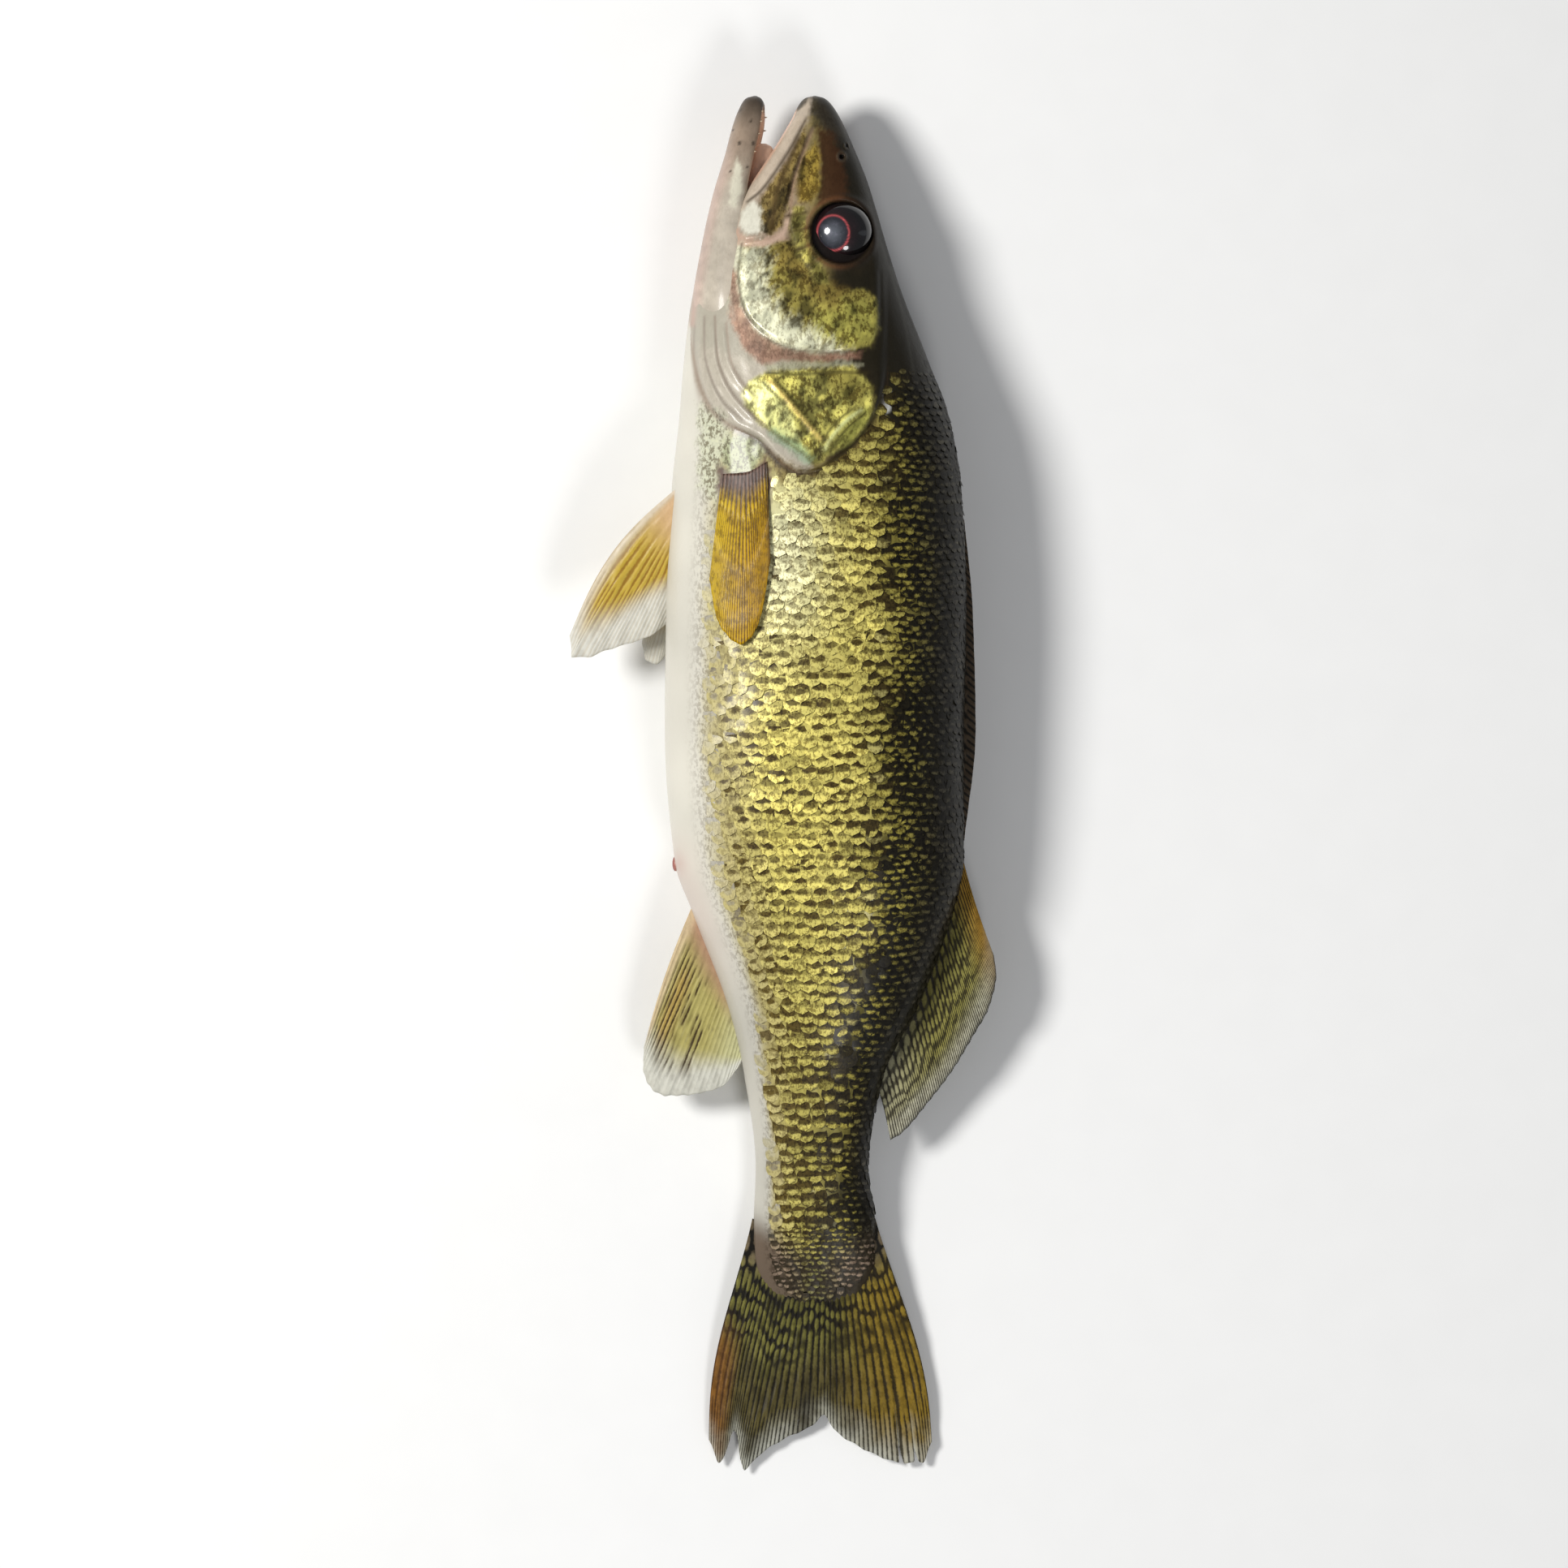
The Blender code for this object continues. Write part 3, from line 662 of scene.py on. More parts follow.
headLines = (
    # line, half width, colour, strength
    (((993, 147), (978, 177), (960, 206), (937, 237), (921, 250)), 2.2, (70, 58, 42), 0.8),
    (((984, 172), (970, 205), (957, 240), (951, 284)), 4.2, (72, 54, 30), 0.75),
    (((1001, 160), (989, 190), (978, 225), (974, 258)), 2.6, (158, 130, 106), 0.7),
    (
        ((898, 252), (897, 284), (904, 299), (925, 304), (950, 300), (966, 288), (974, 262)), 3.4,
        (196, 168, 148), 0.85,
    ),
    (((970, 268), (992, 264)), 2.6, (62, 48, 26), 0.85),
    (((974, 288), (998, 282)), 2.8, (62, 48, 26), 0.85),
    (((984, 310), (1006, 300)), 2.8, (62, 48, 26), 0.85),
    (((994, 330), (1016, 318)), 3.0, (62, 48, 26), 0.85),
    (((972, 258), (975, 290), (986, 316), (1004, 348)), 1.6, (60, 46, 26), 0.7),
    (
        (
            (914, 302), (910, 339), (914, 374), (930, 404), (956, 425), (998, 436), (1043, 436),
            (1074, 428), (1083, 406),
        ),
        1.6, (52, 40, 28), 0.65,
    ),
    (((948, 472), (966, 491), (986, 515), (1010, 543)), 2.8, (222, 196, 112), 0.95),
    (((955, 470), (973, 491), (993, 515), (1017, 545)), 2.0, (48, 38, 18), 0.95),
    (((941, 474), (959, 493), (979, 517), (1003, 545)), 1.8, (64, 54, 24), 0.8),
    (((1060, 508), (1040, 523), (1024, 542), (1016, 556)), 2.8, (214, 218, 150), 0.9),
    (((1066, 511), (1046, 528), (1031, 545), (1022, 560)), 1.9, (48, 42, 20), 0.9),
    (((1054, 504), (1034, 519), (1018, 538), (1010, 554)), 1.8, (52, 46, 22), 0.8),
    (((944, 462), (985, 464), (1030, 461), (1068, 462)), 1.9, (58, 50, 26), 0.8),
    (
        ((917, 484), (921, 503), (936, 523), (961, 541), (991, 563), (1005, 577)), 1.8,
        (92, 80, 44), 0.7,
    ),
    (((1076, 490), (1074, 512), (1066, 530), (1048, 552), (1020, 570)), 2.2, (60, 46, 26), 0.7),
    (((856, 402), (855, 432), (864, 480), (876, 502)), 1.5, (150, 140, 128), 0.7),
    (((868, 392), (868, 432), (877, 469), (892, 498), (914, 519)), 1.5, (142, 130, 118), 0.75),
    (((881, 392), (884, 440), (896, 475), (916, 503), (942, 525)), 1.6, (140, 124, 110), 0.75),
    (((895, 400), (899, 440), (912, 470), (934, 493)), 1.5, (150, 128, 112), 0.6),
    (((905, 528), (935, 545), (965, 574), (985, 586)), 1.6, (120, 92, 76), 0.6),
    (((868, 205), (862, 280), (858, 350), (853, 400)), 4.0, (186, 148, 134), 0.6),
    (((886, 205), (884, 260), (880, 320), (878, 380)), 2.0, (160, 148, 134), 0.6),
    (((898, 240), (896, 300), (898, 350), (905, 395)), 2.4, (164, 150, 134), 0.5),
    # painted reflections: thin grey streaks of sheen along the dark nape
    (((1098, 330), (1120, 380), (1140, 440), (1158, 520)), 2.2, (84, 84, 78), 0.5),
    (((1086, 300), (1108, 372), (1122, 440), (1134, 520)), 1.8, (64, 62, 54), 0.5),
)


# Colour, speckle, gold sheen, wet coat and fineness of the specks at each place of a side.
def skinTint(x, y):
    u, v = toPicture(x, y)
    pale, dark, spot = flankColours(x, y)
    ending = smoothStep(tailBorder(u, v), 1522.0, 1560.0)
    t = flankShare(x, y)
    paleShare = smoothStep(spot, 0.2, 1.0) * 0.7 * (1 - ending)
    paleShare = paleShare + 0.55 * ending * (1 - smoothStep(t, 0.12, 0.3))
    ground = blend(dark, pale, paleShare)
    speck = 0.62 * smoothStep(t, 0.06, 0.14) * (1 - 0.5 * smoothStep(t, 0.2, 0.4))
    gillY = smoothThrough(head["gillEdge"], x)
    onHead = smoothStep(y, gillY - 4, gillY + 1)
    headGround = paint(
        (164, 154, 138), ((171, 165, 149), smoothStep(v, 250, 420)),
        ((172, 150, 128), smoothStep(u, 905, 960) * (1 - smoothStep(v, 380, 470))),
        ((132, 118, 72), smoothStep(u, 960, 1010)), ((40, 34, 22), smoothStep(u, 1004, 1034)),
    )
    tint = blend(ground, headGround, onHead)
    speck = blend(speck, 0.06 + 0.2 * smoothStep(u, 895, 930), onHead)
    for number, (outline, soft, rgb, strength, mottle) in enumerate(headFields.values()):
        share = strength * fieldShare(u, v, outline, soft, number)
        tint = paint(tint, (rgb, share))
        speck = blend(speck, mottle, share)
    for line, width, rgb, strength in headLines:
        stroke, _ = strokeShare(u, v, line, width)
        tint = paint(tint, (rgb, strength * stroke))
        speck = speck * (1 - 0.6 * strength * stroke)
    _, ahead = flap(x, y, head["gillEdge"], head["gillStep"], head["gillReach"])
    # painted shadow in the gap under the gill cover's free edge: dark, paler towards the belly
    flapShadowTint = paint((150, 134, 118), ((54, 42, 28), smoothStep(x, -20.0, -8.0)))
    tint = tint + (flapShadowTint - tint) * (0.8 * hump(ahead, -1.0, 0.9))[..., None]
    ex, ey = head["eye"]
    ring = np.hypot(x - ex, y - ey)
    rim = paint((116, 76, 48), ((40, 28, 20), smoothStep(x - ex, -5.0, 7.0)))
    tint = blend(tint, rim, 0.6 * hump(ring, 11.6, 0.9))
    tint = paint(tint, ((26, 20, 18), 1 - smoothStep(ring, 10.0, 10.9)))
    for (nu, nv), radius, _ in head["nostrils"]:
        far = np.hypot(u - nu, v - nv)
        tint = paint(
            tint, ((14, 11, 8), 1 - smoothStep(far, 0.5 * radius, radius)),
            ((84, 74, 58), 0.6 * hump(far, 1.35 * radius, 0.3 * radius)),
        )
    streaks = clouds(x, y, 3.2, 41, 1.9, math.radians(24)) + 0.5 * clouds(x, y, 7.0, 47)
    patchy = smoothStep(speck, 0.3, 0.9) * onHead
    tint = tint * (1 - 0.74 * patchy * smoothStep(streaks, 0.05, 0.8))[..., None]
    tint = tint * (1 + 0.6 * patchy * smoothStep(-streaks, 0.1, 0.9))[..., None]
    ventFar = np.hypot((u - 836) / 9, (v - 1064) / 12)
    tint = paint(tint, ((172, 96, 88), 0.22 * hump(ventFar, 0.0, 1.0)))
    light = tint.mean(axis=-1)
    gold = np.clip(speck * 1.3, 0, 1) * smoothStep(light, 0.08, 0.3)
    behindGill = smoothStep(v, 480, 520) * (1 - smoothStep(u, 915, 950))
    gold = gold * onHead * (1 - behindGill)
    fine = 1 - onHead * (1 - behindGill)
    return tint, speck, gold, 0.04 + 0.2 * smoothStep(light, 0.03, 0.2), fine


print("stage: shader groups")


# A value inside a shader, whose sums and products are math nodes.
class ShaderValue:
    def __init__(self, tree, socket):
        self.tree, self.socket = tree, socket

    def __add__(self, other):
        return mathNode(self.tree, "ADD", self, other)

    def __sub__(self, other):
        return mathNode(self.tree, "SUBTRACT", self, other)

    def __rsub__(self, other):
        return mathNode(self.tree, "SUBTRACT", other, self)

    def __mul__(self, other):
        return mathNode(self.tree, "MULTIPLY", self, other)

    def __rtruediv__(self, other):
        return mathNode(self.tree, "DIVIDE", other, self)

    def __pow__(self, other):
        return mathNode(self.tree, "POWER", self, other)

    # 0 below low, 1 above high and smooth between
    def ramp(self, low, high):
        settings = {"interpolation_type": "SMOOTHSTEP", "clamp": True}
        node = addNode(self.tree, "ShaderNodeMapRange", settings, i0=self, i1=low, i2=high)
        return ShaderValue(self.tree, node.outputs[0])


# Links sockets to a node's inputs, or sets plain values. Inputs go by name, with _ for a
# space, or by number, as in i0.
def connect(tree, node, **inputs):
    for key, value in inputs.items():
        socket = node.inputs[int(key[1:]) if key[1:].isdigit() else key.replace("_", " ")]
        value = value.socket if isinstance(value, ShaderValue) else value
        if isinstance(value, bpy.types.NodeSocket):
            tree.links.new(value, socket)
        else:
            socket.default_value = value


def addNode(tree, kind, settings=None, **inputs):
    node = tree.nodes.new(kind)
    for key, value in (settings or {}).items():
        setattr(node, key, value)
    connect(tree, node, **inputs)
    return node


def mathNode(tree, operation, a, b=0.0):
    node = addNode(tree, "ShaderNodeMath", {"operation": operation}, i0=a, i1=b)
    return ShaderValue(tree, node.outputs[0])


def mixColour(tree, a, b, share, how="MIX"):
    settings = {"data_type": "RGBA", "blend_type": how}
    return addNode(tree, "ShaderNodeMix", settings, i0=share, i6=a, i7=b).outputs[2]


def noise(tree, where, scale, **inputs):
    node = addNode(tree, "ShaderNodeTexNoise", Vector=where, Scale=scale, **inputs)
    return ShaderValue(tree, node.outputs[0])


def attribute(tree, name, output="Fac"):
    node = addNode(tree, "ShaderNodeAttribute", {"attribute_name": name})
    return ShaderValue(tree, node.outputs[output])


def ownPlaces(tree):
    return addNode(tree, "ShaderNodeTexCoord").outputs["Object"]


def newGroup(name, inputs, outputs):
    group = bpy.data.node_groups.new(name, "ShaderNodeTree")
    for label, default in inputs.items():
        kind = "NodeSocketFloat" if isinstance(default, float) else "NodeSocketColor"
        socket = group.interface.new_socket(name=label, in_out="INPUT", socket_type=kind)
        socket.default_value = default
    for label, kind in outputs.items():
        group.interface.new_socket(name=label, in_out="OUTPUT", socket_type=kind)
    given = group.nodes.new("NodeGroupInput")
    values = [ShaderValue(group, given.outputs[label]) for label in inputs]
    return group, values, group.nodes.new("NodeGroupOutput")


# Fine dark specks and pale flecks over a tint, and a height for them.
def makeSpeckleGroup():
    group, (tint, speckle, fineScale, coarseScale), result = newGroup(
        "fleckedTint",
        {"Tint": (0.5, 0.5, 0.5, 1), "Speckle": 0.5, "Fine Scale": 900.0, "Coarse Scale": 260.0},
        {"Color": "NodeSocketColor", "Height": "NodeSocketFloat"},
    )
    where = ownPlaces(group)
    leaning = addNode(
        group, "ShaderNodeMapping", Vector=where, Rotation=(0, 0, 0.42), Scale=(1.0, 0.5, 1.0)
    )
    fine = noise(group, leaning.outputs[0], fineScale, Detail=3.0, Roughness=0.7)
    coarse = noise(group, where, coarseScale, Detail=2.0, Roughness=0.6)
    both = fine * 0.55 + coarse * 0.45
    dark = (1.0 - both.ramp(0.43, 0.53)) * speckle
    light = both.ramp(0.52, 0.64) * (speckle * 0.45)
    darker = mixColour(group, tint, (0.2, 0.15, 0.09, 1), 1.0, "MULTIPLY")
    lighter = mixColour(group, tint, (1.25, 1.22, 1.1, 1), 1.0, "MULTIPLY")
    colour = mixColour(group, tint, darker, dark * 0.82)
    connect(group, result, Color=mixColour(group, colour, lighter, light), Height=both)
    return group


speckleGroup = makeSpeckleGroup()


# The colour and the height of a flecked tint.
def flecked(tree, tint, speckle, fineScale, coarseScale):
    node = addNode(
        tree, "ShaderNodeGroup", {"node_tree": speckleGroup},
        Tint=tint, Speckle=speckle, Fine_Scale=fineScale, Coarse_Scale=coarseScale,
    )
    return node.outputs["Color"], ShaderValue(tree, node.outputs["Height"])


# Pale bands along forking rays, 0 in the dark lines between them, broken into spots.
def makeRayGroup():
    group, (phase, length, spots, beat), result = newGroup(
        "rayBands", {"Phase": 0.0, "Length": 0.5, "Spots": 0.0, "Beat": 0.0},
        {"Band": "NodeSocketFloat"},
    )
    where = ownPlaces(group)
    shift = (noise(group, where, 90.0, Detail=2.0) - 0.5) * 0.12
    phase = phase + shift

    def sawTooth(value):
        return mathNode(group, "PINGPONG", value, 0.5) * 2.0

    def between(a, b, share):
        return a * (1.0 - share) + b * share

    middle = between(1.0 - sawTooth(phase), sawTooth(phase * 2.0), length.ramp(0.2, 0.34))
    middle = between(middle, sawTooth(phase * 4.0), length.ramp(0.5, 0.64))
    rough = (noise(group, where, 700.0, Detail=3.0, Roughness=0.7) - 0.5) * 0.7
    band = (middle + rough).ramp(0.14, 0.62)
    ray = mathNode(group, "FLOOR", phase + 0.5)
    luck = addNode(group, "ShaderNodeTexWhiteNoise", {"noise_dimensions": "1D"}, W=ray)
    beat = beat + (ShaderValue(group, luck.outputs["Value"]) * 3.7 + shift * 14.0)
    aside, along = (1.0 - middle) ** 2.0, (1.0 - sawTooth(beat)) ** 2.0
    ovals = 1.0 - (mathNode(group, "SQRT", aside + along) - rough).ramp(0.5, 0.95)
    connect(group, result, Band=between(band, ovals, spots))
    return group


rayGroup = makeRayGroup()


def newFinish(name, roughness, coat=0.0, coatRoughness=0.1, specular=0.5):
    finish = bpy.data.materials.new(name)
    finish.use_nodes = True
    tree = finish.node_tree
    shader = tree.nodes["Principled BSDF"]
    connect(
        tree, shader, Roughness=roughness, Coat_Weight=coat, Coat_Roughness=coatRoughness,
        Specular_IOR_Level=specular,
    )
    return finish, tree, shader


def addBump(tree, shader, height, distance, strength):
    bump = addNode(tree, "ShaderNodeBump", Height=height, Distance=distance, Strength=strength)
    connect(tree, shader, Normal=bump.outputs[0])


def makeSkinFinish():
    finish, tree, shader = newFinish("wetSkin", 0.4, coatRoughness=0.14, specular=0.16)
    behind = mathNode(tree, "GREATER_THAN", attribute(tree, "fine"), 0.5)
    tint, speck = attribute(tree, "tint", "Color"), attribute(tree, "speck")
    colour, height = flecked(tree, tint, speck, 1100.0, behind * 420.0 + 260.0)
    connect(
        tree, shader, Base_Color=colour, Coat_Weight=attribute(tree, "coat"),
        Metallic=attribute(tree, "gold") * 0.3, Roughness=height * 0.24 + 0.3,
    )
    addBump(tree, shader, height, 0.00022, 0.55)
    return finish


# Each scale's pale ground, dark at its rim and in the pocket ahead of the next one.
def makeScaleFinish():
    finish, tree, shader = newFinish("scales", 0.42, coatRoughness=0.16, specular=0.18)
    across = addNode(tree, "ShaderNodeUVMap", {"uv_map": "across"}).outputs[0]
    parts = addNode(tree, "ShaderNodeSeparateXYZ", Vector=across)
    side, along = [(ShaderValue(tree, parts.outputs[k]) - 0.5) * 10.0 for k in (0, 1)]
    where = ownPlaces(tree)
    flat = addNode(
        tree, "ShaderNodeMapping", Vector=where, Rotation=(0, 0, 0.2), Scale=(0.6, 1.0, 1.0)
    )
    ragged = (noise(tree, flat.outputs[0], 460.0, Detail=5.0, Roughness=0.8) - 0.5) * 3.6

    def away(*sides):
        first, second = [mathNode(tree, "ABSOLUTE", value) ** 2.0 for value in sides]
        return mathNode(tree, "SQRT", first + second)

    far = away(side * 0.35, (along + 1.2) * 0.54)
    edge = attribute(tree, "spot") + attribute(tree, "luck") * 0.16 - (far + ragged)
    narrow = 1.0 / attribute(tree, "smudgeWidth")
    far = away(side * narrow, (along - 0.45) * 0.92)
    mark = (1.0 - (far + ragged * 0.75).ramp(0.65, 1.35)) * attribute(tree, "smudge")
    shown = edge.ramp(-0.38, 0.38) * (1.0 - mark)
    dark, pale = attribute(tree, "darkTint", "Color"), attribute(tree, "paleTint", "Color")
    colour = mixColour(tree, dark, pale, shown)
    colour, height = flecked(tree, colour, attribute(tree, "fleck"), 1700.0, 700.0)
    connect(
        tree, shader, Base_Color=colour, Coat_Weight=attribute(tree, "coat"),
        Metallic=shown * (attribute(tree, "gold") * 0.25),
    )
    addBump(tree, shader, height, 0.00018, 0.5)
    return finish


print("stage: skin")
skinFinish = makeSkinFinish()
scaleFinish = makeScaleFinish()


# Turns around the body, closer together on its upper side.
def evenTurns(upper, under):
    over = math.pi * (np.arange(upper) + 0.5) / upper
    return np.concatenate([over, math.pi + math.pi * (np.arange(under) + 0.5) / under])


# A loft over rings from the snout to the tail root, closer together on the head.
def makeSkin():
    snout = 230.0 - 10.0 * (np.arange(1, 17) / 16) ** 2
    ahead = np.concatenate([[229.98], snout, np.arange(219.5, body["headEnd"], -body["headStep"])])
    behind = np.arange(ahead[-1] - 1.6, -160.0, -body["trunkStep"])
    places = np.concatenate([ahead, behind, np.arange(-162.0, -177.0, -2.0)])
    turns = evenTurns(*body["turns"])
    y, angle = places[:, None], turns[None, :]
    c, s = np.cos(angle), np.sin(angle)
    low, high, half, square = bodyAt(y)
    half = half * (1 - 0.8 * smoothStep(-y, 166.0, 176.0))
    x = (low + high) / 2 + (high - low) / 2 * signedPower(c, 2 / square)
    out = signedPower(s, 2 / square)
    y = np.broadcast_to(y, x.shape)
    rise = skinRelief(x, y) * np.minimum(1.0, 1.6 * np.abs(out))
    z = midHeight(y) + half * out + np.sign(s) * rise
    # the palate: a hollow along the under edge of the upper jaw
    mouthEdge = np.clip((-c - 0.72) / 0.28, 0, 1)
    deep = smoothStep(y, 192.0, 206.0) * (1 - smoothStep(y, 222.0, 228.0))
    x = x + 1.2 * deep * mouthEdge**1.2 * (high - low) / 26.0
    z = np.maximum(z, 0.15)
    tint, speck, gold, coat, fine = skinTint(x, y)
    inMouth = smoothStep(deep * mouthEdge, 0.25, 0.6)
    tint = blend(tint, linear(*body["palate"]), inMouth)
    speck = speck * (1 - inMouth)
    count, sides = x.size, len(turns)
    points = withHubs(np.stack([x, y, z], -1).reshape(-1, 3), sides)

    def spread(values):
        flat = values.reshape(count, -1)
        return np.concatenate([flat, flat[:1], flat[-1:]])

    numbers = {"speck": speck, "gold": gold, "coat": coat, "fine": fine}
    piece = meshPiece(
        "bodySkin", points, ringFaces(len(places), sides), skinFinish,
        colours={"tint": spread(tint)},
        values={label: spread(values)[:, 0] for label, values in numbers.items()},
    )
    faceOutwards(piece)
    for face in piece.data.polygons:
        face.use_smooth = len(face.vertices) == 4
    print("bodySkin", len(piece.data.polygons), "faces")
    place(piece, "skin", "fish")


makeSkin()

print("stage: scales")
scales = {
    "seed": 7,
    "length": 6.3,
    "width": 6.1,
    "lift": 0.1,
    "tiltDegrees": 4.2,
    "jitter": 0.26,
    # half the gap across the body, step along it, size, lean per row, reach around the body
    # from the lateral line, and reach along the body, in millimetres
    "flank": {
        "gap": 2.65, "step": 3.8, "size": 1.0, "lean": 0.6, "around": (-200.0, 3.4),
        "along": (150.0, -148.0),
    },
    "back": {
        "gap": 1.95, "step": 2.5, "size": 0.69, "lean": 0.1, "around": (3.4, 200.0),
        "along": (150.0, -148.0),
    },
    "root": {
        "gap": 1.5, "step": 1.9, "size": 0.56, "lean": 0.3, "around": (-200.0, 200.0),
        "along": (-148.5, -173.0),
    },
    "bare": ((850, 480), (905, 528), (952, 562), (954, 640), (876, 640), (870, 604), (850, 604)),
}


# One scale, its free rear edge round, as a small domed plate with its places as UV.
def makeScaleShape():
    columns, rows = 7, 6
    points, uv, faces = [], [], []
    for r in range(rows):
        v = (r / (rows - 1)) ** 0.85
        behind = max(0.0, (v - 0.42) / 0.58)
        wide = max(1 - behind**2.3, 0.0) ** 0.5 if behind else 0.86 + 0.14 * v / 0.42
        for k in range(columns):
            u = 2 * k / (columns - 1) - 1
            x = u * max(wide, 0.12) * scales["width"] / 2
            y = (0.5 - v) * scales["length"] + 0.25 * u * u * (1 if v > 0.9 else 0)
            points.append((x, y, 0.16 * (1 - (u * wide) ** 2) * (0.4 + 0.6 * v)))
            uv.append((0.5 + x / 10, 0.5 + y / 10))
    for r in range(rows - 1):
        for k in range(columns - 1):
            a = r * columns + k
            faces.append([a, a + columns, a + columns + 1, a + 1])
    shape = meshPiece("scaleShape", points, faces, scaleFinish, uv=uv)
    shape.hide_render = True
    return shape


# Places of one sort of scale on one side, in rows that follow the lateral line.
def scaleRows(kind):
    angle = np.linspace(0.0, math.pi, 601)
    c, s = np.cos(angle), np.sin(angle)
    found = []
    for index, y in enumerate(np.arange(*kind["along"], -kind["step"])):
        low, high, half, square = [float(k) for k in bodyAt(np.array(y))]
        x = (low + high) / 2 + (high - low) / 2 * signedPower(c, 2 / square)
        out = signedPower(s, 2 / square)
        z = half * out + skinRelief(x, np.full_like(x, y)) * np.minimum(1.0, 1.6 * out)
        along = np.concatenate([[0.0], np.cumsum(np.hypot(np.diff(x), np.diff(z)))])
        lineX = float(smoothThrough(body["lateralLine"], y))
        start = float(np.interp(-lineX, -x, along))
        narrow = 1 - 0.2 * float(smoothStep(-y, 60.0, 150.0))
        for row in range(-80, 81):
            away = kind["gap"] * narrow * row - kind["lean"] * index
            if (row + index) % 2 or not kind["around"][0] <= away < kind["around"][1]:
                continue
            arc = start - away
            if arc < 0.6 or arc > along[-1] - 0.6:
                continue
            px, pz = np.interp(arc, along, x), np.interp(arc, along, z)
            ahead = np.interp(arc + 0.8, along, x), np.interp(arc + 0.8, along, z)
            before = np.interp(arc - 0.8, along, x), np.interp(arc - 0.8, along, z)
            size = kind["size"] * narrow
            found.append((px, y, pz, ahead[0] - before[0], ahead[1] - before[1], away, size))
    return found


# Places, directions and sizes of all the scales on one side.
def scaleSeeds(side):
    found = np.array(sum([scaleRows(scales[kind]) for kind in ("flank", "back", "root")], []))
    x, y = found[:, 0], found[:, 1]
    edge = smoothThrough(head["gillEdge"], x)
    front = np.where(x > 31, np.minimum(edge, 136.0 + 0.3 * (x - 33)), edge - 2.2)
    front = np.where(x < -22, 97.0, front)
    bareFar = -insideDistance(*toPicture(x, y), scales["bare"])
    overBelly = flankShare(x, y) - 0.025 * clouds(x, y, 9.0, 37) > 0.135
    keep = (y < front) & (bareFar > 0) & overBelly & (y > 0.03 * (x - 10) ** 2 - 172.5)
    front, found, bareFar = front[keep], found[keep], bareFar[keep]
    x, y, z = found[:, 0], found[:, 1], found[:, 2]
    fade = np.where((x > 31) | (x < -22), smoothStep(front - y, 0.0, 14.0), 1.0)
    fade = fade * smoothStep(bareFar, -4.0, 30.0)
    lowA, highA, halfA, _ = bodyAt(y + 1.5)
    lowB, highB, halfB, _ = bodyAt(y - 1.5)
    low, high, half, _ = bodyAt(y)
    across = (x - (low + high) / 2) / ((high - low) / 2)
    rise = np.clip(z / half, 0, 1.1)
    ahead = (lowA + highA) / 2 + (highA - lowA) / 2 * across
    behind = (lowB + highB) / 2 + (highB - lowB) / 2 * across
    slopeZ = (halfA - halfB) * rise / 3 + side * (midHeight(y + 1.5) - midHeight(y - 1.5)) / 3
    around = np.stack([found[:, 3], np.zeros(len(x)), found[:, 4]], -1)
    alongFish = np.stack([(ahead - behind) / 3, np.ones(len(x)), slopeZ], -1)
    around /= np.linalg.norm(around, axis=1)[:, None]
    alongFish -= around * (alongFish * around).sum(1)[:, None]
    alongFish /= np.linalg.norm(alongFish, axis=1)[:, None]
    normal = np.cross(alongFish, around)
    outwards = np.stack([across, np.zeros(len(x)), rise + 0.01], -1)
    normal *= np.sign((normal * outwards).sum(1))[:, None]
    points = np.stack([x, y, z], -1)
    if side < 0:
        flip = np.array([1.0, 1.0, -1.0])
        points, normal, alongFish = points * flip, normal * flip, alongFish * flip
    points[:, 2] += midHeight(y)
    return points, normal, alongFish, found[:, 5], found[:, 6], fade


# Rotations whose Z is the normal and whose Y points forward, with the rear edge raised.
def eulerFrames(normal, forward, tilts):
    turns = []
    for n, f, tilt in zip(normal, forward, tilts):
        n, f = Vector(n), Vector(f)
        across = f.cross(n).normalized()
        basis = Matrix((across, f, n)).transposed()
        turns.append(tuple((basis @ Matrix.Rotation(-math.radians(tilt), 3, "X")).to_euler()))
    return np.array(turns)


# Places a shape on every point of a mesh, turned and sized by its attributes.
def scatterTree():
    tree = bpy.data.node_groups.new("scatterOnPoints", "GeometryNodeTree")
    for label, way, kind in (
        ("Points", "INPUT", "Geometry"), ("Shape", "INPUT", "Object"),
        ("Finish", "INPUT", "Material"), ("Result", "OUTPUT", "Geometry"),
    ):
        tree.interface.new_socket(name=label, in_out=way, socket_type="NodeSocket" + kind)
    given, result = tree.nodes.new("NodeGroupInput"), tree.nodes.new("NodeGroupOutput")
    shape = addNode(
        tree, "GeometryNodeObjectInfo", {"transform_space": "ORIGINAL"},
        Object=given.outputs["Shape"],
    )
    turn, own = [
        addNode(tree, "GeometryNodeInputNamedAttribute", {"data_type": kind}, Name=label)
        for kind, label in (("FLOAT_VECTOR", "turn"), ("FLOAT", "ownSize"))
    ]
    put = addNode(
        tree, "GeometryNodeInstanceOnPoints",
        Points=given.outputs["Points"], Instance=shape.outputs["Geometry"],
        Rotation=turn.outputs["Attribute"], Scale=own.outputs["Attribute"],
    )
    real = addNode(tree, "GeometryNodeRealizeInstances", Geometry=put.outputs[0])
    painted = addNode(
        tree, "GeometryNodeSetMaterial",
        Geometry=real.outputs[0], Material=given.outputs["Finish"],
    )
    tree.links.new(painted.outputs[0], result.inputs[0])
    return tree


scatter = scatterTree()


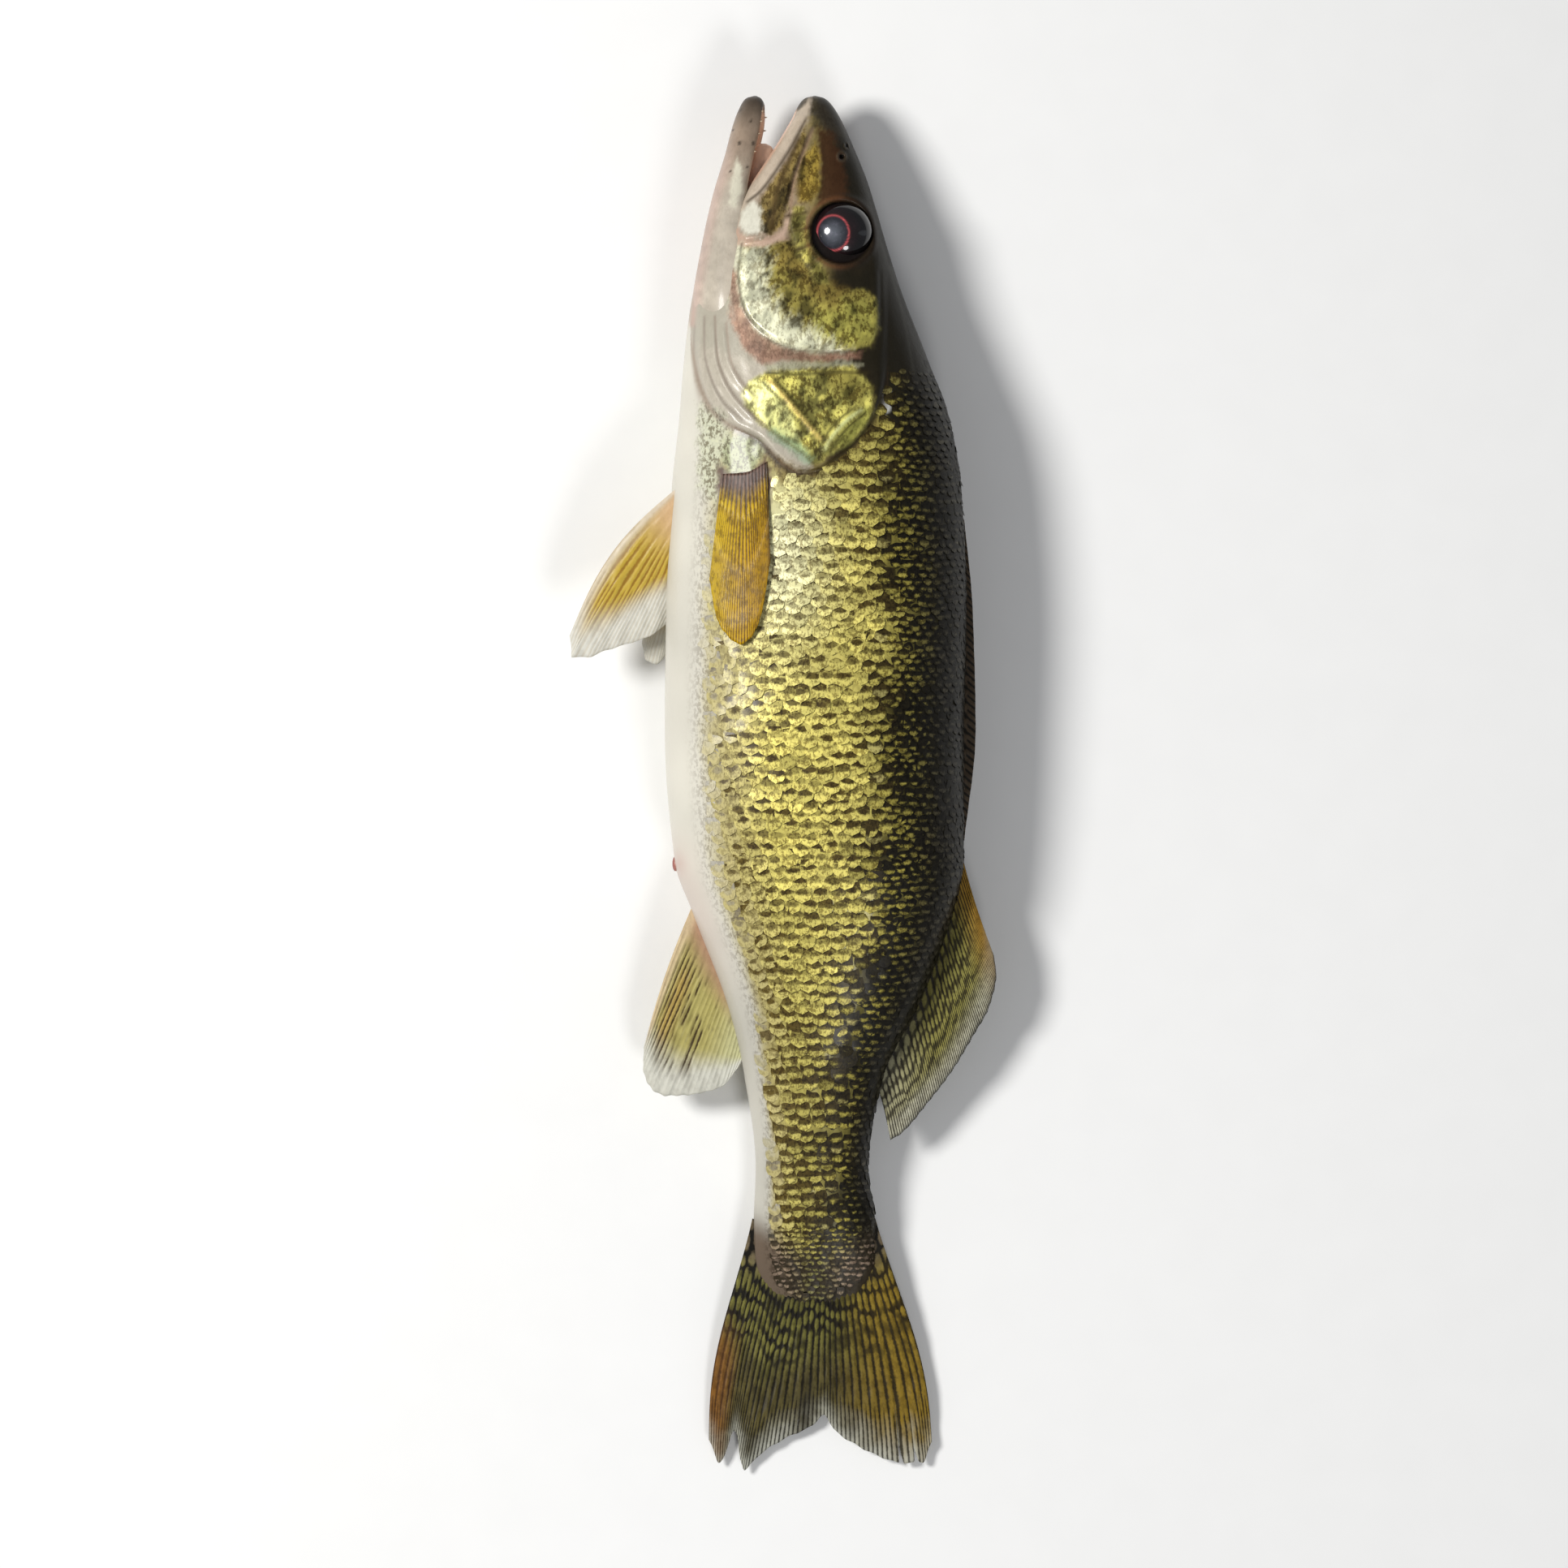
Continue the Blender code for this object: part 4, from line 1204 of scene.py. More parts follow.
# Runs the scatter tree on seed points and keeps the result as a plain mesh.
def scatterPiece(name, points, turns, sizes, shape, finish, colours=None, values=None):
    seeds = meshPiece(name + "Seeds", points, [], finish, colours, values, smooth=False)
    layer = seeds.data.attributes.new("turn", "FLOAT_VECTOR", "POINT")
    layer.data.foreach_set("vector", np.asarray(turns, np.float32).ravel())
    layer = seeds.data.attributes.new("ownSize", "FLOAT", "POINT")
    layer.data.foreach_set("value", np.asarray(sizes, np.float32))
    modifier = seeds.modifiers.new("scatter", "NODES")
    modifier.node_group = scatter
    inputs = [item for item in scatter.interface.items_tree if item.in_out == "INPUT"]
    names = {item.name: item.identifier for item in inputs}
    modifier[names["Shape"]], modifier[names["Finish"]] = shape, finish
    bpy.context.view_layer.update()
    graph = bpy.context.evaluated_depsgraph_get()
    mesh = bpy.data.meshes.new_from_object(seeds.evaluated_get(graph))
    seeds.modifiers.clear()
    bpy.data.objects.remove(seeds)
    piece = newObject(name, mesh)
    for extra in ("turn", "ownSize"):
        if extra in mesh.attributes:
            mesh.attributes.remove(mesh.attributes[extra])
    mesh.shade_smooth()
    return piece


def makeScales(name, side, shape):
    points, normal, forward, away, sizes, fade = scaleSeeds(side)
    draw = np.random.default_rng(scales["seed"] + side)
    count = len(points)
    x, y = points[:, 0], points[:, 1]
    t = flankShare(x, y)
    proud = smoothStep(t, 0.15, 0.34) * (0.3 + 0.7 * fade)
    lifted = scales["lift"] * sizes * (0.9 * proud - 0.75 * (1 - proud))
    points = points + normal * lifted[:, None]
    loose = scales["jitter"] * sizes * (1 + 1.2 * (y < -148))
    along = loose * draw.normal(0, 1, count)
    along = along + 1.7 * clouds(x, y, 20.0, 71) * smoothStep(y, -150, -120)
    aside = loose * draw.normal(0, 1, count)
    points = points + forward * along[:, None] + np.cross(forward, normal) * aside[:, None]
    tilts = scales["tiltDegrees"] * (0.22 + 0.78 * proud)
    tilts = tilts + draw.normal(0, 0.35, count) * (0.2 + proud)
    forward = forward + draw.normal(0, 0.09, (count, 3)) * [1, 0, 0.3]
    turns = eulerFrames(normal + draw.normal(0, 0.006, (count, 3)) * proud[:, None], forward, tilts)
    sizes = sizes * (1.0 + draw.normal(0, 0.06, count)) * (0.7 + 0.3 * fade)
    pale, dark, spot = flankColours(x, y)
    onLine = (np.abs(away) < 0.5) & (y > -150)
    pale = np.where(onLine[:, None], pale * 0.8 + 0.06, pale)
    smudge, smudgeWidth = smudges(x, y)
    smudge = smudge * np.clip(0.85 + 0.3 * draw.normal(0, 1, count), 0, 1)
    bareSide = np.clip(1.6 * (1 - fade), 0, 1) * (x < 31)
    smudge = smudge * (1 - bareSide)
    dark = dark + (pale * 0.8 - dark) * bareSide[:, None]
    tone = 1 + 0.14 * draw.normal(0, 1, count) * smoothStep(t, 0.18, 0.34)
    piece = scatterPiece(
        name, points, turns, sizes, shape, scaleFinish,
        colours={"paleTint": pale * tone[:, None], "darkTint": dark},
        values={
            "spot": spot, "luck": draw.normal(0, 1, count), "smudge": smudge,
            "smudgeWidth": smudgeWidth,
            "gold": smoothStep(t, 0.18, 0.44), "fleck": 0.3 + 0.6 * smoothStep(t, 0.12, 0.28),
            "coat": (0.12 - 0.08 * smoothStep(t, 0.6, 0.85)) * (1 - 0.8 * smoothStep(-y, 110, 150)),
        },
    )
    # no scale reaches under the table
    corners = np.zeros(len(piece.data.vertices) * 3, np.float32)
    piece.data.vertices.foreach_get("co", corners)
    corners[2::3] = np.maximum(corners[2::3], 0.0001)
    piece.data.vertices.foreach_set("co", corners)
    print(name, count, "scales,", len(piece.data.polygons), "faces")
    place(piece, "skin", "fish")


scaleShape = makeScaleShape()
makeScales("scalesLeft", 1, scaleShape)
makeScales("scalesRight", -1, scaleShape)
bpy.data.objects.remove(scaleShape)

print("stage: jaw, tongue and teeth")
jaw = {
    "sections": (
        (230.0, -10.0, -9.4, 0.3), (229.2, -12.7, -7.3, 3.0), (226.5, -14.6, -5.8, 5.2),
        (221.1, -16.8, -5.8, 7.6), (210.0, -19.8, -7.6, 10.6), (196.7, -23.8, -9.6, 13.6),
        (180.5, -27.4, -8.0, 17.2), (158.8, -30.9, 0.0, 20.4), (137.0, -32.0, 6.0, 16.0),
    ),
    "squareness": 2.3,
    "sides": 96,
    "step": 0.7,
    "troughDepth": 6.2,
    "farRimRise": 1.6,
    "pores": (
        (911, 177, 2.2), (928, 177, 2.0), (921, 206, 1.6), (912, 134, 2.0), (925, 150, 1.6),
        (900, 212, 1.5),
        (917, 118, 2.0), (903, 160, 1.4),
    ),
    "cream": ((908, 196), (914, 210), (915, 236), (906, 258), (898, 252), (902, 220)),
}


def jawTint(x, y):
    u, v = toPicture(x, y)
    edge = smoothThrough(column(jaw["sections"], 1), y)
    outer = 1 - smoothStep(x - edge, 1.0, 5.0)
    tint = paint(
        (74, 64, 54), ((150, 132, 114), smoothStep(v, 118, 168)),
        ((186, 176, 160), smoothStep(v, 170, 260)),
        ((190, 160, 146), outer * smoothStep(v, 150, 240) * 0.7),
    )
    tint = tint * (1 + 0.12 * clouds(x, y, 5.0, 83))[..., None]
    for pu, pv, radius in jaw["pores"]:
        far = np.hypot(u - pu, v - pv)
        pore = 1 - smoothStep(far, 0.5 * radius, 1.5 * radius)
        tint = paint(tint, ((46, 36, 30), 0.85 * pore))
    cream = fieldShare(u, v, jaw["cream"], 3.0, 91)
    return paint(tint, ((226, 222, 200), 0.8 * cream))


# Places of the lower jaw around each y, and how much of each is mouth lining.
def jawSurface(y, angle):
    c, s = np.cos(angle), np.sin(angle)
    low, high, half = [smoothThrough(column(jaw["sections"], k), y) for k in (1, 2, 3)]
    power = 2 / jaw["squareness"]
    x = (low + high) / 2 + (high - low) / 2 * signedPower(c, power)
    z = half * signedPower(s, power)

    def towards(turn, width):
        return np.exp(-((np.angle(np.exp(1j * (angle - turn))) / width) ** 2))

    inward, far, near = towards(0.0, 0.58), towards(-0.85, 0.5), towards(0.85, 0.5)
    gape = smoothStep(y, 178.0, 200.0) * (1 - 0.8 * smoothStep(y, 222.0, 229.0))
    x = x - jaw["troughDepth"] * inward * gape * np.clip(half / 9.0, 0.3, 1.2)
    x = x + gape * (jaw["farRimRise"] * far + 0.3 * near)
    lining = smoothStep(inward * gape, 0.2, 0.45) + 0.85 * smoothStep(far * gape, 0.35, 0.75)
    z = np.maximum(midHeight(y) + z, 0.15)
    return x, np.broadcast_to(y, x.shape), z, np.clip(lining, 0, 1)


# A closed piece over rings of points, coloured point by point.
def closedLoft(name, x, y, z, tint, speck, coat):
    count, sides = x.size, x.shape[1]
    points = withHubs(np.stack([x, y, z], -1).reshape(-1, 3), sides)
    tint = tint.reshape(count, 3)
    piece = meshPiece(
        name, points, ringFaces(len(x), sides), skinFinish,
        colours={"tint": np.vstack([tint, tint[:1], tint[-1:]])},
        values={"speck": speck, "gold": 0.0, "coat": coat},
    )
    faceOutwards(piece)
    return piece


def makeJaw():
    tip = 230.0 - 9.0 * (np.arange(1, 13) / 12) ** 2
    y = np.concatenate([[229.98], tip, np.arange(220.4, 137.0, -jaw["step"])])[:, None]
    angle = (2 * math.pi * (np.arange(jaw["sides"]) + 0.5) / jaw["sides"])[None, :]
    x, y, z, lining = jawSurface(y, angle)
    inner = paint((204, 164, 144), ((236, 208, 188), smoothStep(y, 188.0, 218.0)))
    tint = jawTint(x, y)
    tint = tint + (inner - tint) * lining[..., None]
    place(closedLoft("lowerJaw", x, y, z, tint, 0.12, 0.2), "skin", "fish")


tongue = {
    "sections": (
        (214.0, -8.0, -6.0, 0.7), (212.6, -9.9, -3.8, 2.2), (208.0, -11.6, -3.4, 3.6),
        (200.0, -14.6, -6.4, 4.6), (190.0, -18.6, -10.4, 5.4), (178.0, -21.0, -13.0, 5.6),
    ),
    "reach": (214.0, 178.0), "rings": 40, "sides": 32,
}


def makeTongue():
    y = np.linspace(*tongue["reach"], tongue["rings"])[:, None]
    low, high, half = [smoothThrough(column(tongue["sections"], k), y) for k in (1, 2, 3)]
    angle = (2 * math.pi * np.arange(tongue["sides"]) / tongue["sides"])[None, :]
    x = (low + high) / 2 + (high - low) / 2 * np.cos(angle)
    y = np.broadcast_to(y, x.shape)
    z = midHeight(y) + half * np.sin(angle) + 0.25 * clouds(x, y, 3.0, 53)
    tint = paint((216, 178, 158), ((240, 214, 194), smoothStep(y, 196.0, 212.0)))
    place(closedLoft("tongue", x, y, z, tint, 0.12, 0.2), "mouth", "fish")


vent = {
    "middle": (-36.2, -26.6), "size": (1.1, 2.6, 2.0), "rim": (186, 132, 120),
    "core": (150, 70, 64),
}


def makeVent():
    angle = (2 * math.pi * np.arange(20) / 20)[None, :]
    tilt = (math.pi * np.arange(1, 12) / 12)[:, None]
    x = vent["middle"][0] + vent["size"][0] * np.sin(tilt) * np.cos(angle)
    y = vent["middle"][1] + vent["size"][1] * np.cos(tilt) + 0 * angle
    middle = float(midHeight(np.array(vent["middle"][1])))
    z = middle + vent["size"][2] * np.sin(tilt) * np.sin(angle)
    tint = paint(vent["rim"], (vent["core"], smoothStep(-np.cos(angle) + 0 * x, 0.2, 0.9)))
    place(closedLoft("vent", x, y, z, tint, 0.4, 0.3), "skin", "fish")


teeth = {
    # distance along the jaw, turn around it and size of each tooth
    "places": (
        (224.6, 0.8, 0.7), (221.2, 0.84, 0.95), (217.0, 0.88, 0.7), (211.0, 0.9, 0.8),
        (223.0, -0.8, 0.8), (218.6, -0.85, 0.9), (213.0, -0.85, 0.8),
    ),
    "height": 1.7, "radius": 0.42, "tint": (186, 166, 140),
}


# Small pointed teeth along both rims of the lower jaw.
def makeTeeth():
    sides = 7
    angle = 2 * math.pi * np.arange(sides) / sides
    wide = teeth["radius"]
    rings = [(wide * size * math.cos(a), wide * size * math.sin(a), rise * teeth["height"])
             for rise, size in ((-0.3, 1.0), (0.45, 0.72)) for a in angle]
    points = rings + [(0.12, 0, teeth["height"]), (0, 0, -0.3 * teeth["height"])]
    faces = [[k, (k + 1) % sides, sides + (k + 1) % sides, sides + k] for k in range(sides)]
    faces += [[sides + k, sides + (k + 1) % sides, 2 * sides] for k in range(sides)]
    faces += [[(k + 1) % sides, k, 2 * sides + 1] for k in range(sides)]
    shape = meshPiece("toothShape", points, faces, skinFinish)
    shape.hide_render = True
    spots, turns, sizes = [], [], []
    for y, turn, size in teeth["places"]:
        x, _, z, _ = jawSurface(np.array([[y]]), np.array([[turn]]))
        spots.append((float(x[0, 0]) - 0.2, y, float(z[0, 0])))
        aim = Vector((0.6, 0.0, 0.8 if turn > 0 else -0.5))
        turns.append(tuple(aim.to_track_quat("Z", "Y").to_euler()))
        sizes.append(size)
    count = len(spots)
    piece = scatterPiece(
        "teeth", spots, turns, sizes, shape, skinFinish,
        colours={"tint": np.broadcast_to(linear(*teeth["tint"]), (count, 3))},
        values={"speck": 0.3, "gold": 0.0, "coat": 0.4},
    )
    bpy.data.objects.remove(shape)
    place(piece, "mouth", "fish")


makeJaw()
makeTongue()
makeTeeth()
makeVent()

print("stage: fins")
fins = {
    "tailFin": {
        "root": ((-10.6, -145.5), (10.0, -160.0), (30.6, -145.5)),
        "rim": (
            (-25.2, -220.0), (-21.6, -228.0), (-16.6, -217.0), (-13.4, -230.35), (-7.0, -224.3),
            (1.1, -219.4), (9.2, -215.6), (13.3, -212.0), (17.3, -217.3), (24.1, -221.9),
            (32.2, -225.9), (39.6, -228.1), (46.4, -227.8), (49.6, -220.6),
        ),
        "rays": 17, "perRay": 22, "rows": 72, "bow": 3.4, "late": 1.5, "relief": 0.3, "wave": 0.5,
        "thick": (1.5, 0.5), "forks": (0.0, 0.12, 0.26, 0.7, 0.85, 1.0),
        # places on the rim and depths of the splits in its edge
        "splits": ((39.6, -228.0, 8.5), (44.4, -228.0, 5.0)),
    },
    "softDorsalFin": {
        "root": ((56.5, -10.0), (49.0, -56.0), (29.5, -96.0)),
        "rim": (
            (70.2, -57.5), (71.0, -64.0), (68.8, -74.2), (62.9, -85.1), (56.4, -95.9),
            (48.2, -106.7), (38.6, -117.6), (35.6, -119.2),
        ),
        "rays": 20, "perRay": 16, "rows": 48, "bow": 1.2, "relief": 0.26, "wave": 0.6,
        "thick": (1.4, 0.5),
    },
    "analFin": {
        "root": ((-29.5, -38.0), (-20.0, -60.0), (-11.5, -87.0)),
        "rim": (
            (-46.9, -88.0), (-47.2, -95.0), (-44.6, -101.9), (-39.6, -104.5), (-32.8, -104.3),
            (-26.0, -103.1), (-20.6, -101.2), (-15.4, -95.0),
        ),
        "rays": 13, "perRay": 20, "rows": 48, "bow": 1.2, "relief": 0.26, "wave": 0.5,
        "thick": (1.4, 0.5),
        "forks": (0.0, 0.12, 0.3, 1.5, 1.6, 1.7),
    },
    "spinyDorsalFin": {
        "root": ((57.0, 94.0), (57.5, 60.0), (57.0, 15.0), (55.5, -14.0)),
        "rim": ((60.2, 88.0), (63.0, 58.0), (64.0, 18.0), (60.2, -19.0)),
        "rays": 12, "perRay": 12, "rows": 16, "relief": 0.35, "wave": 0.2, "thick": (1.5, 0.6),
    },
    "pectoralFinLeft": {
        "root": ((-5.6, 107.0), (-13.0, 103.5), (-20.6, 103.0)),
        "rim": (
            (-4.5, 74.0), (-7.6, 55.8), (-11.1, 48.2), (-14.6, 46.1), (-18.2, 48.4),
            (-22.4, 55.0), (-24.8, 68.0),
        ),
        "rays": 14, "perRay": 10, "rows": 56, "relief": 0.24, "wave": 0.15, "lift": (-0.45, 2.2),
        "lie": 1, "thick": (1.2, 0.5),
    },
    "pectoralFinRight": {"relief": 0.2, "wave": 0.1, "lift": (-0.45, 1.3), "lie": -1},
    "pelvicFinLeft": {
        "root": ((-34.0, 100.0), (-32.5, 91.0), (-31.5, 83.0)),
        "rim": (
            (-71.6, 49.5), (-70.9, 42.2), (-66.5, 42.0), (-59.9, 44.3), (-53.1, 46.4),
            (-45.0, 49.2), (-38.4, 54.0),
        ),
        "rays": 7, "perRay": 22, "rows": 50, "bow": 5.4, "relief": 0.26, "wave": 0.5,
        "lift": (7.0, -4.0),
        "thick": (1.5, 0.5),
    },
    "pelvicFinRight": {
        "root": ((-31.0, 94.0), (-30.0, 89.0), (-29.5, 84.0)),
        "rim": ((-47.6, 47.0), (-46.0, 41.0), (-42.6, 40.0), (-39.6, 43.4), (-36.5, 52.0)),
        "rays": 6, "perRay": 20, "rows": 46, "bow": 3.0, "relief": 0.24, "wave": 0.5,
        "lift": (-7.0, -16.0),
        "thick": (1.4, 0.5),
    },
}


# The right pectoral fin is the left one, pressed flatter.
fins["pectoralFinRight"] = {**fins["pectoralFinLeft"], **fins["pectoralFinRight"]}


def alongOutline(outline, share):
    line = np.array(outline, float)
    along = np.concatenate([[0.0], np.cumsum(np.hypot(*np.diff(line, axis=0).T))])
    along /= along[-1]
    return np.column_stack([smoothThrough(list(zip(along, line[:, k])), share) for k in (0, 1)])


# Ridges of the rays, each of which forks twice on its way to the rim.
def rayPattern(share, t, rays):
    total = 0.0
    second, third = smoothStep(t, 0.2, 0.34), smoothStep(t, 0.5, 0.64)
    for forks, strength in ((1, 1 - second), (2, second * (1 - third)), (4, third)):
        phase = (share * (rays - 1) * forks + (0.5 if forks == 1 else 0.0)) % 1.0
        total = total + strength * hump(phase, 0.5, 0.24)
    return total


# Each paint gives the colours of the webs and the bands along the rays, the speckle, how
# opaque the fin is, how far the bands break into spots, and how many spots a ray has, from
# the share s across the fin and t from root to rim.
def tailPaint(s, t, x, y):
    right = smoothStep(s, 0.6, 0.92) * smoothStep(t, 0.1, 0.3)
    left = (1 - smoothStep(s, 0.03, 0.16)) * smoothStep(t, 0.36, 0.62)
    middle = hump(s, 0.52, 0.035) * smoothStep(t, 0.5, 0.9)
    tip = smoothStep(t + 0.05 * clouds(x, y, 9.0, 3), 0.83, 1.1)
    tip = tip * (1 - 0.6 * np.clip(middle, 0, 1))
    line = paint(
        (22, 19, 13), ((30, 26, 15), smoothStep(t, 0.1, 0.6)), ((52, 42, 16), 0.8 * right),
        ((90, 58, 28), 0.85 * left), ((76, 74, 62), 0.8 * tip),
    )
    band = paint(
        (100, 88, 68), ((110, 106, 50), smoothStep(t, 0.1, 0.26)),
        ((84, 76, 40), smoothStep(t, 0.42, 0.7)),
    )
    band = paint(
        band * (1 + 0.28 * clouds(x, y, 12.0, 15))[..., None], ((138, 112, 34), 0.85 * right),
        ((138, 92, 38), 0.8 * left), ((42, 38, 28), 0.8 * middle), ((196, 196, 182), 0.95 * tip),
    )
    spots = 1 - smoothStep(t + 0.16 * clouds(x, y, 12.0, 19) + 0.1 * right, 0.4, 0.62)
    dusk = smoothStep(clouds(x, y, 7.0, 27), 0.1, 0.9)
    dusk = dusk * smoothStep(t, 0.15, 0.3) * (1 - smoothStep(t, 0.55, 0.75))
    band = blend(band, line, 0.7 * dusk)
    return line, band, 0.4 * (1 - tip), 1 - 0.3 * tip, spots, 12.0


def dorsalPaint(s, t, x, y):
    lead = 1 - smoothStep(s, 0.05, 0.3)
    pale = np.clip(smoothStep(s, 0.6, 1.0) * 0.55 + smoothStep(t, 0.7, 0.94), 0, 1)
    pale = pale * (1 - 0.5 * lead)
    line = paint(
        (30, 26, 16), ((40, 35, 22), smoothStep(t, 0.1, 0.7)), ((66, 46, 20), 0.7 * lead),
        ((64, 60, 50), 0.6 * pale),
    )
    band = paint(
        (104, 98, 48), ((142, 136, 72), smoothStep(t, 0.1, 0.6)), ((168, 126, 44), 0.85 * lead),
        ((190, 188, 172), 0.75 * pale), ((60, 60, 62), 0.85 * smoothStep(t, 0.965, 0.99)),
    )
    spots = 0.8 * (1 - smoothStep(t, 0.7, 0.9)) * (1 - lead)
    return line, band, 0.35, 1 - 0.2 * smoothStep(t, 0.9, 1.0), spots, 7.0


def analPaint(s, t, x, y):
    lead = 1 - smoothStep(s, 0.02, 0.13)
    amber = hump(s, 0.2, 0.07) * smoothStep(t, 0.2, 0.4) * (1 - smoothStep(t, 0.72, 0.9))
    tip = smoothStep(t + 0.24 * s - 0.06 * lead, 0.72, 0.98)
    band = paint(
        (168, 132, 108), ((172, 162, 96), smoothStep(t, 0.06, 0.3)),
        ((186, 184, 138), smoothStep(s, 0.5, 0.9)), ((186, 142, 60), 0.5 * amber),
        ((206, 184, 148), 0.9 * lead), ((216, 215, 204), 0.92 * tip),
    )
    drift = clouds(x, y, 3.4, 9, 3.4, 0.32) + 0.9 * hump(s, 0.3, 0.2) - 0.5 * s
    streaks = smoothStep(drift, -0.2, 0.5) * smoothStep(t, 0.12, 0.3)
    streaks = streaks * (1 - smoothStep(t + 0.12 * s, 0.8, 0.97)) * (1 - lead)
    line = paint(band, ((62, 46, 24), 0.97 * streaks))
    streaks = 0.45 * streaks * smoothStep(clouds(x, y, 5.0, 13, 2.4, 0.32), -0.2, 0.6)
    return line, paint(band, ((112, 96, 54), streaks)), 0.15, 1 - 0.18 * tip, 0.0, 1.0


def spinyPaint(s, t, x, y):
    line = paint((22, 20, 15), ((30, 26, 20), t))
    return line, np.broadcast_to(linear(74, 62, 48), line.shape), 0.4, 1.0, 0.0, 1.0


def pectoralPaint(s, t, x, y):
    band = paint(
        (192, 158, 4), ((184, 142, 2), smoothStep(t, 0.1, 0.6)),
        ((206, 176, 44), 0.75 * smoothStep(s, 0.4, 0.95)),
        ((150, 116, 30), 0.5 * smoothStep(wobble(x, y, 22.0, 21), 0.0, 0.8)),
    )
    band = blend(linear(112, 90, 80), band, smoothStep(t, 0.07, 0.24))
    line = paint((62, 44, 36), ((98, 66, 4), smoothStep(t, 0.08, 0.25)))
    plain = 0.7 * smoothStep(s, 0.45, 0.85) * smoothStep(t, 0.15, 0.3)
    line = line + (band * 0.72 - line) * plain[..., None]
    shade = 1 - smoothStep(s, 0.0, 0.12)
    band, line = paint(band, ((72, 48, 12), 0.75 * shade)), paint(line, ((40, 28, 12), 0.8 * shade))
    return line, band, 0.6, 1.0, 0.0, 1.0


def pelvicPaint(s, t, x, y):
    lead = 1 - smoothStep(s, 0.02, 0.12)
    clear = smoothStep(t + 0.5 * s, 0.76, 1.04)
    band = paint((200, 166, 124), ((188, 160, 62), smoothStep(t, 0.1, 0.38)))
    line = paint(
        band, ((142, 104, 36), 0.9 * smoothStep(t, 0.16, 0.4)),
        ((198, 184, 158), 0.85 * lead), ((214, 210, 196), 0.9 * clear),
    )
    band = paint(band, ((212, 200, 180), 0.85 * lead), ((222, 221, 212), 0.95 * clear))
    return line, band, 0.1, 1 - 0.16 * clear, 0.0, 1.0


finPaints = {
    "tailFin": tailPaint, "softDorsalFin": dorsalPaint, "analFin": analPaint,
    "spinyDorsalFin": spinyPaint,
    "pectoralFinLeft": pectoralPaint, "pectoralFinRight": pectoralPaint,
    "pelvicFinLeft": pelvicPaint, "pelvicFinRight": pelvicPaint,
}


def makeFinFinish():
    finish, tree, shader = newFinish(
        "finSkin", 0.45, coat=0.04, coatRoughness=0.12, specular=0.14
    )
    bands = addNode(
        tree, "ShaderNodeGroup", {"node_tree": rayGroup},
        Phase=attribute(tree, "rayPhase"), Length=attribute(tree, "rayLength"),
        Spots=attribute(tree, "spots"), Beat=attribute(tree, "beat"),
    )
    web, ray = attribute(tree, "tint", "Color"), attribute(tree, "rayTint", "Color")
    colour = mixColour(tree, web, ray, bands.outputs["Band"])
    colour, height = flecked(tree, colour, attribute(tree, "speck"), 900.0, 300.0)
    connect(tree, shader, Base_Color=colour, Alpha=attribute(tree, "opaque"))
    addBump(tree, shader, height, 0.00015, 0.5)
    return finish


finFinish = makeFinFinish()


# where the rays start and end to fork, and how deep the rim is notched between them,
# as shares of the way from root to rim
evenForks = (0.0, 0.2, 0.34, 0.5, 0.64, 1.0)
rimNotch = 0.008


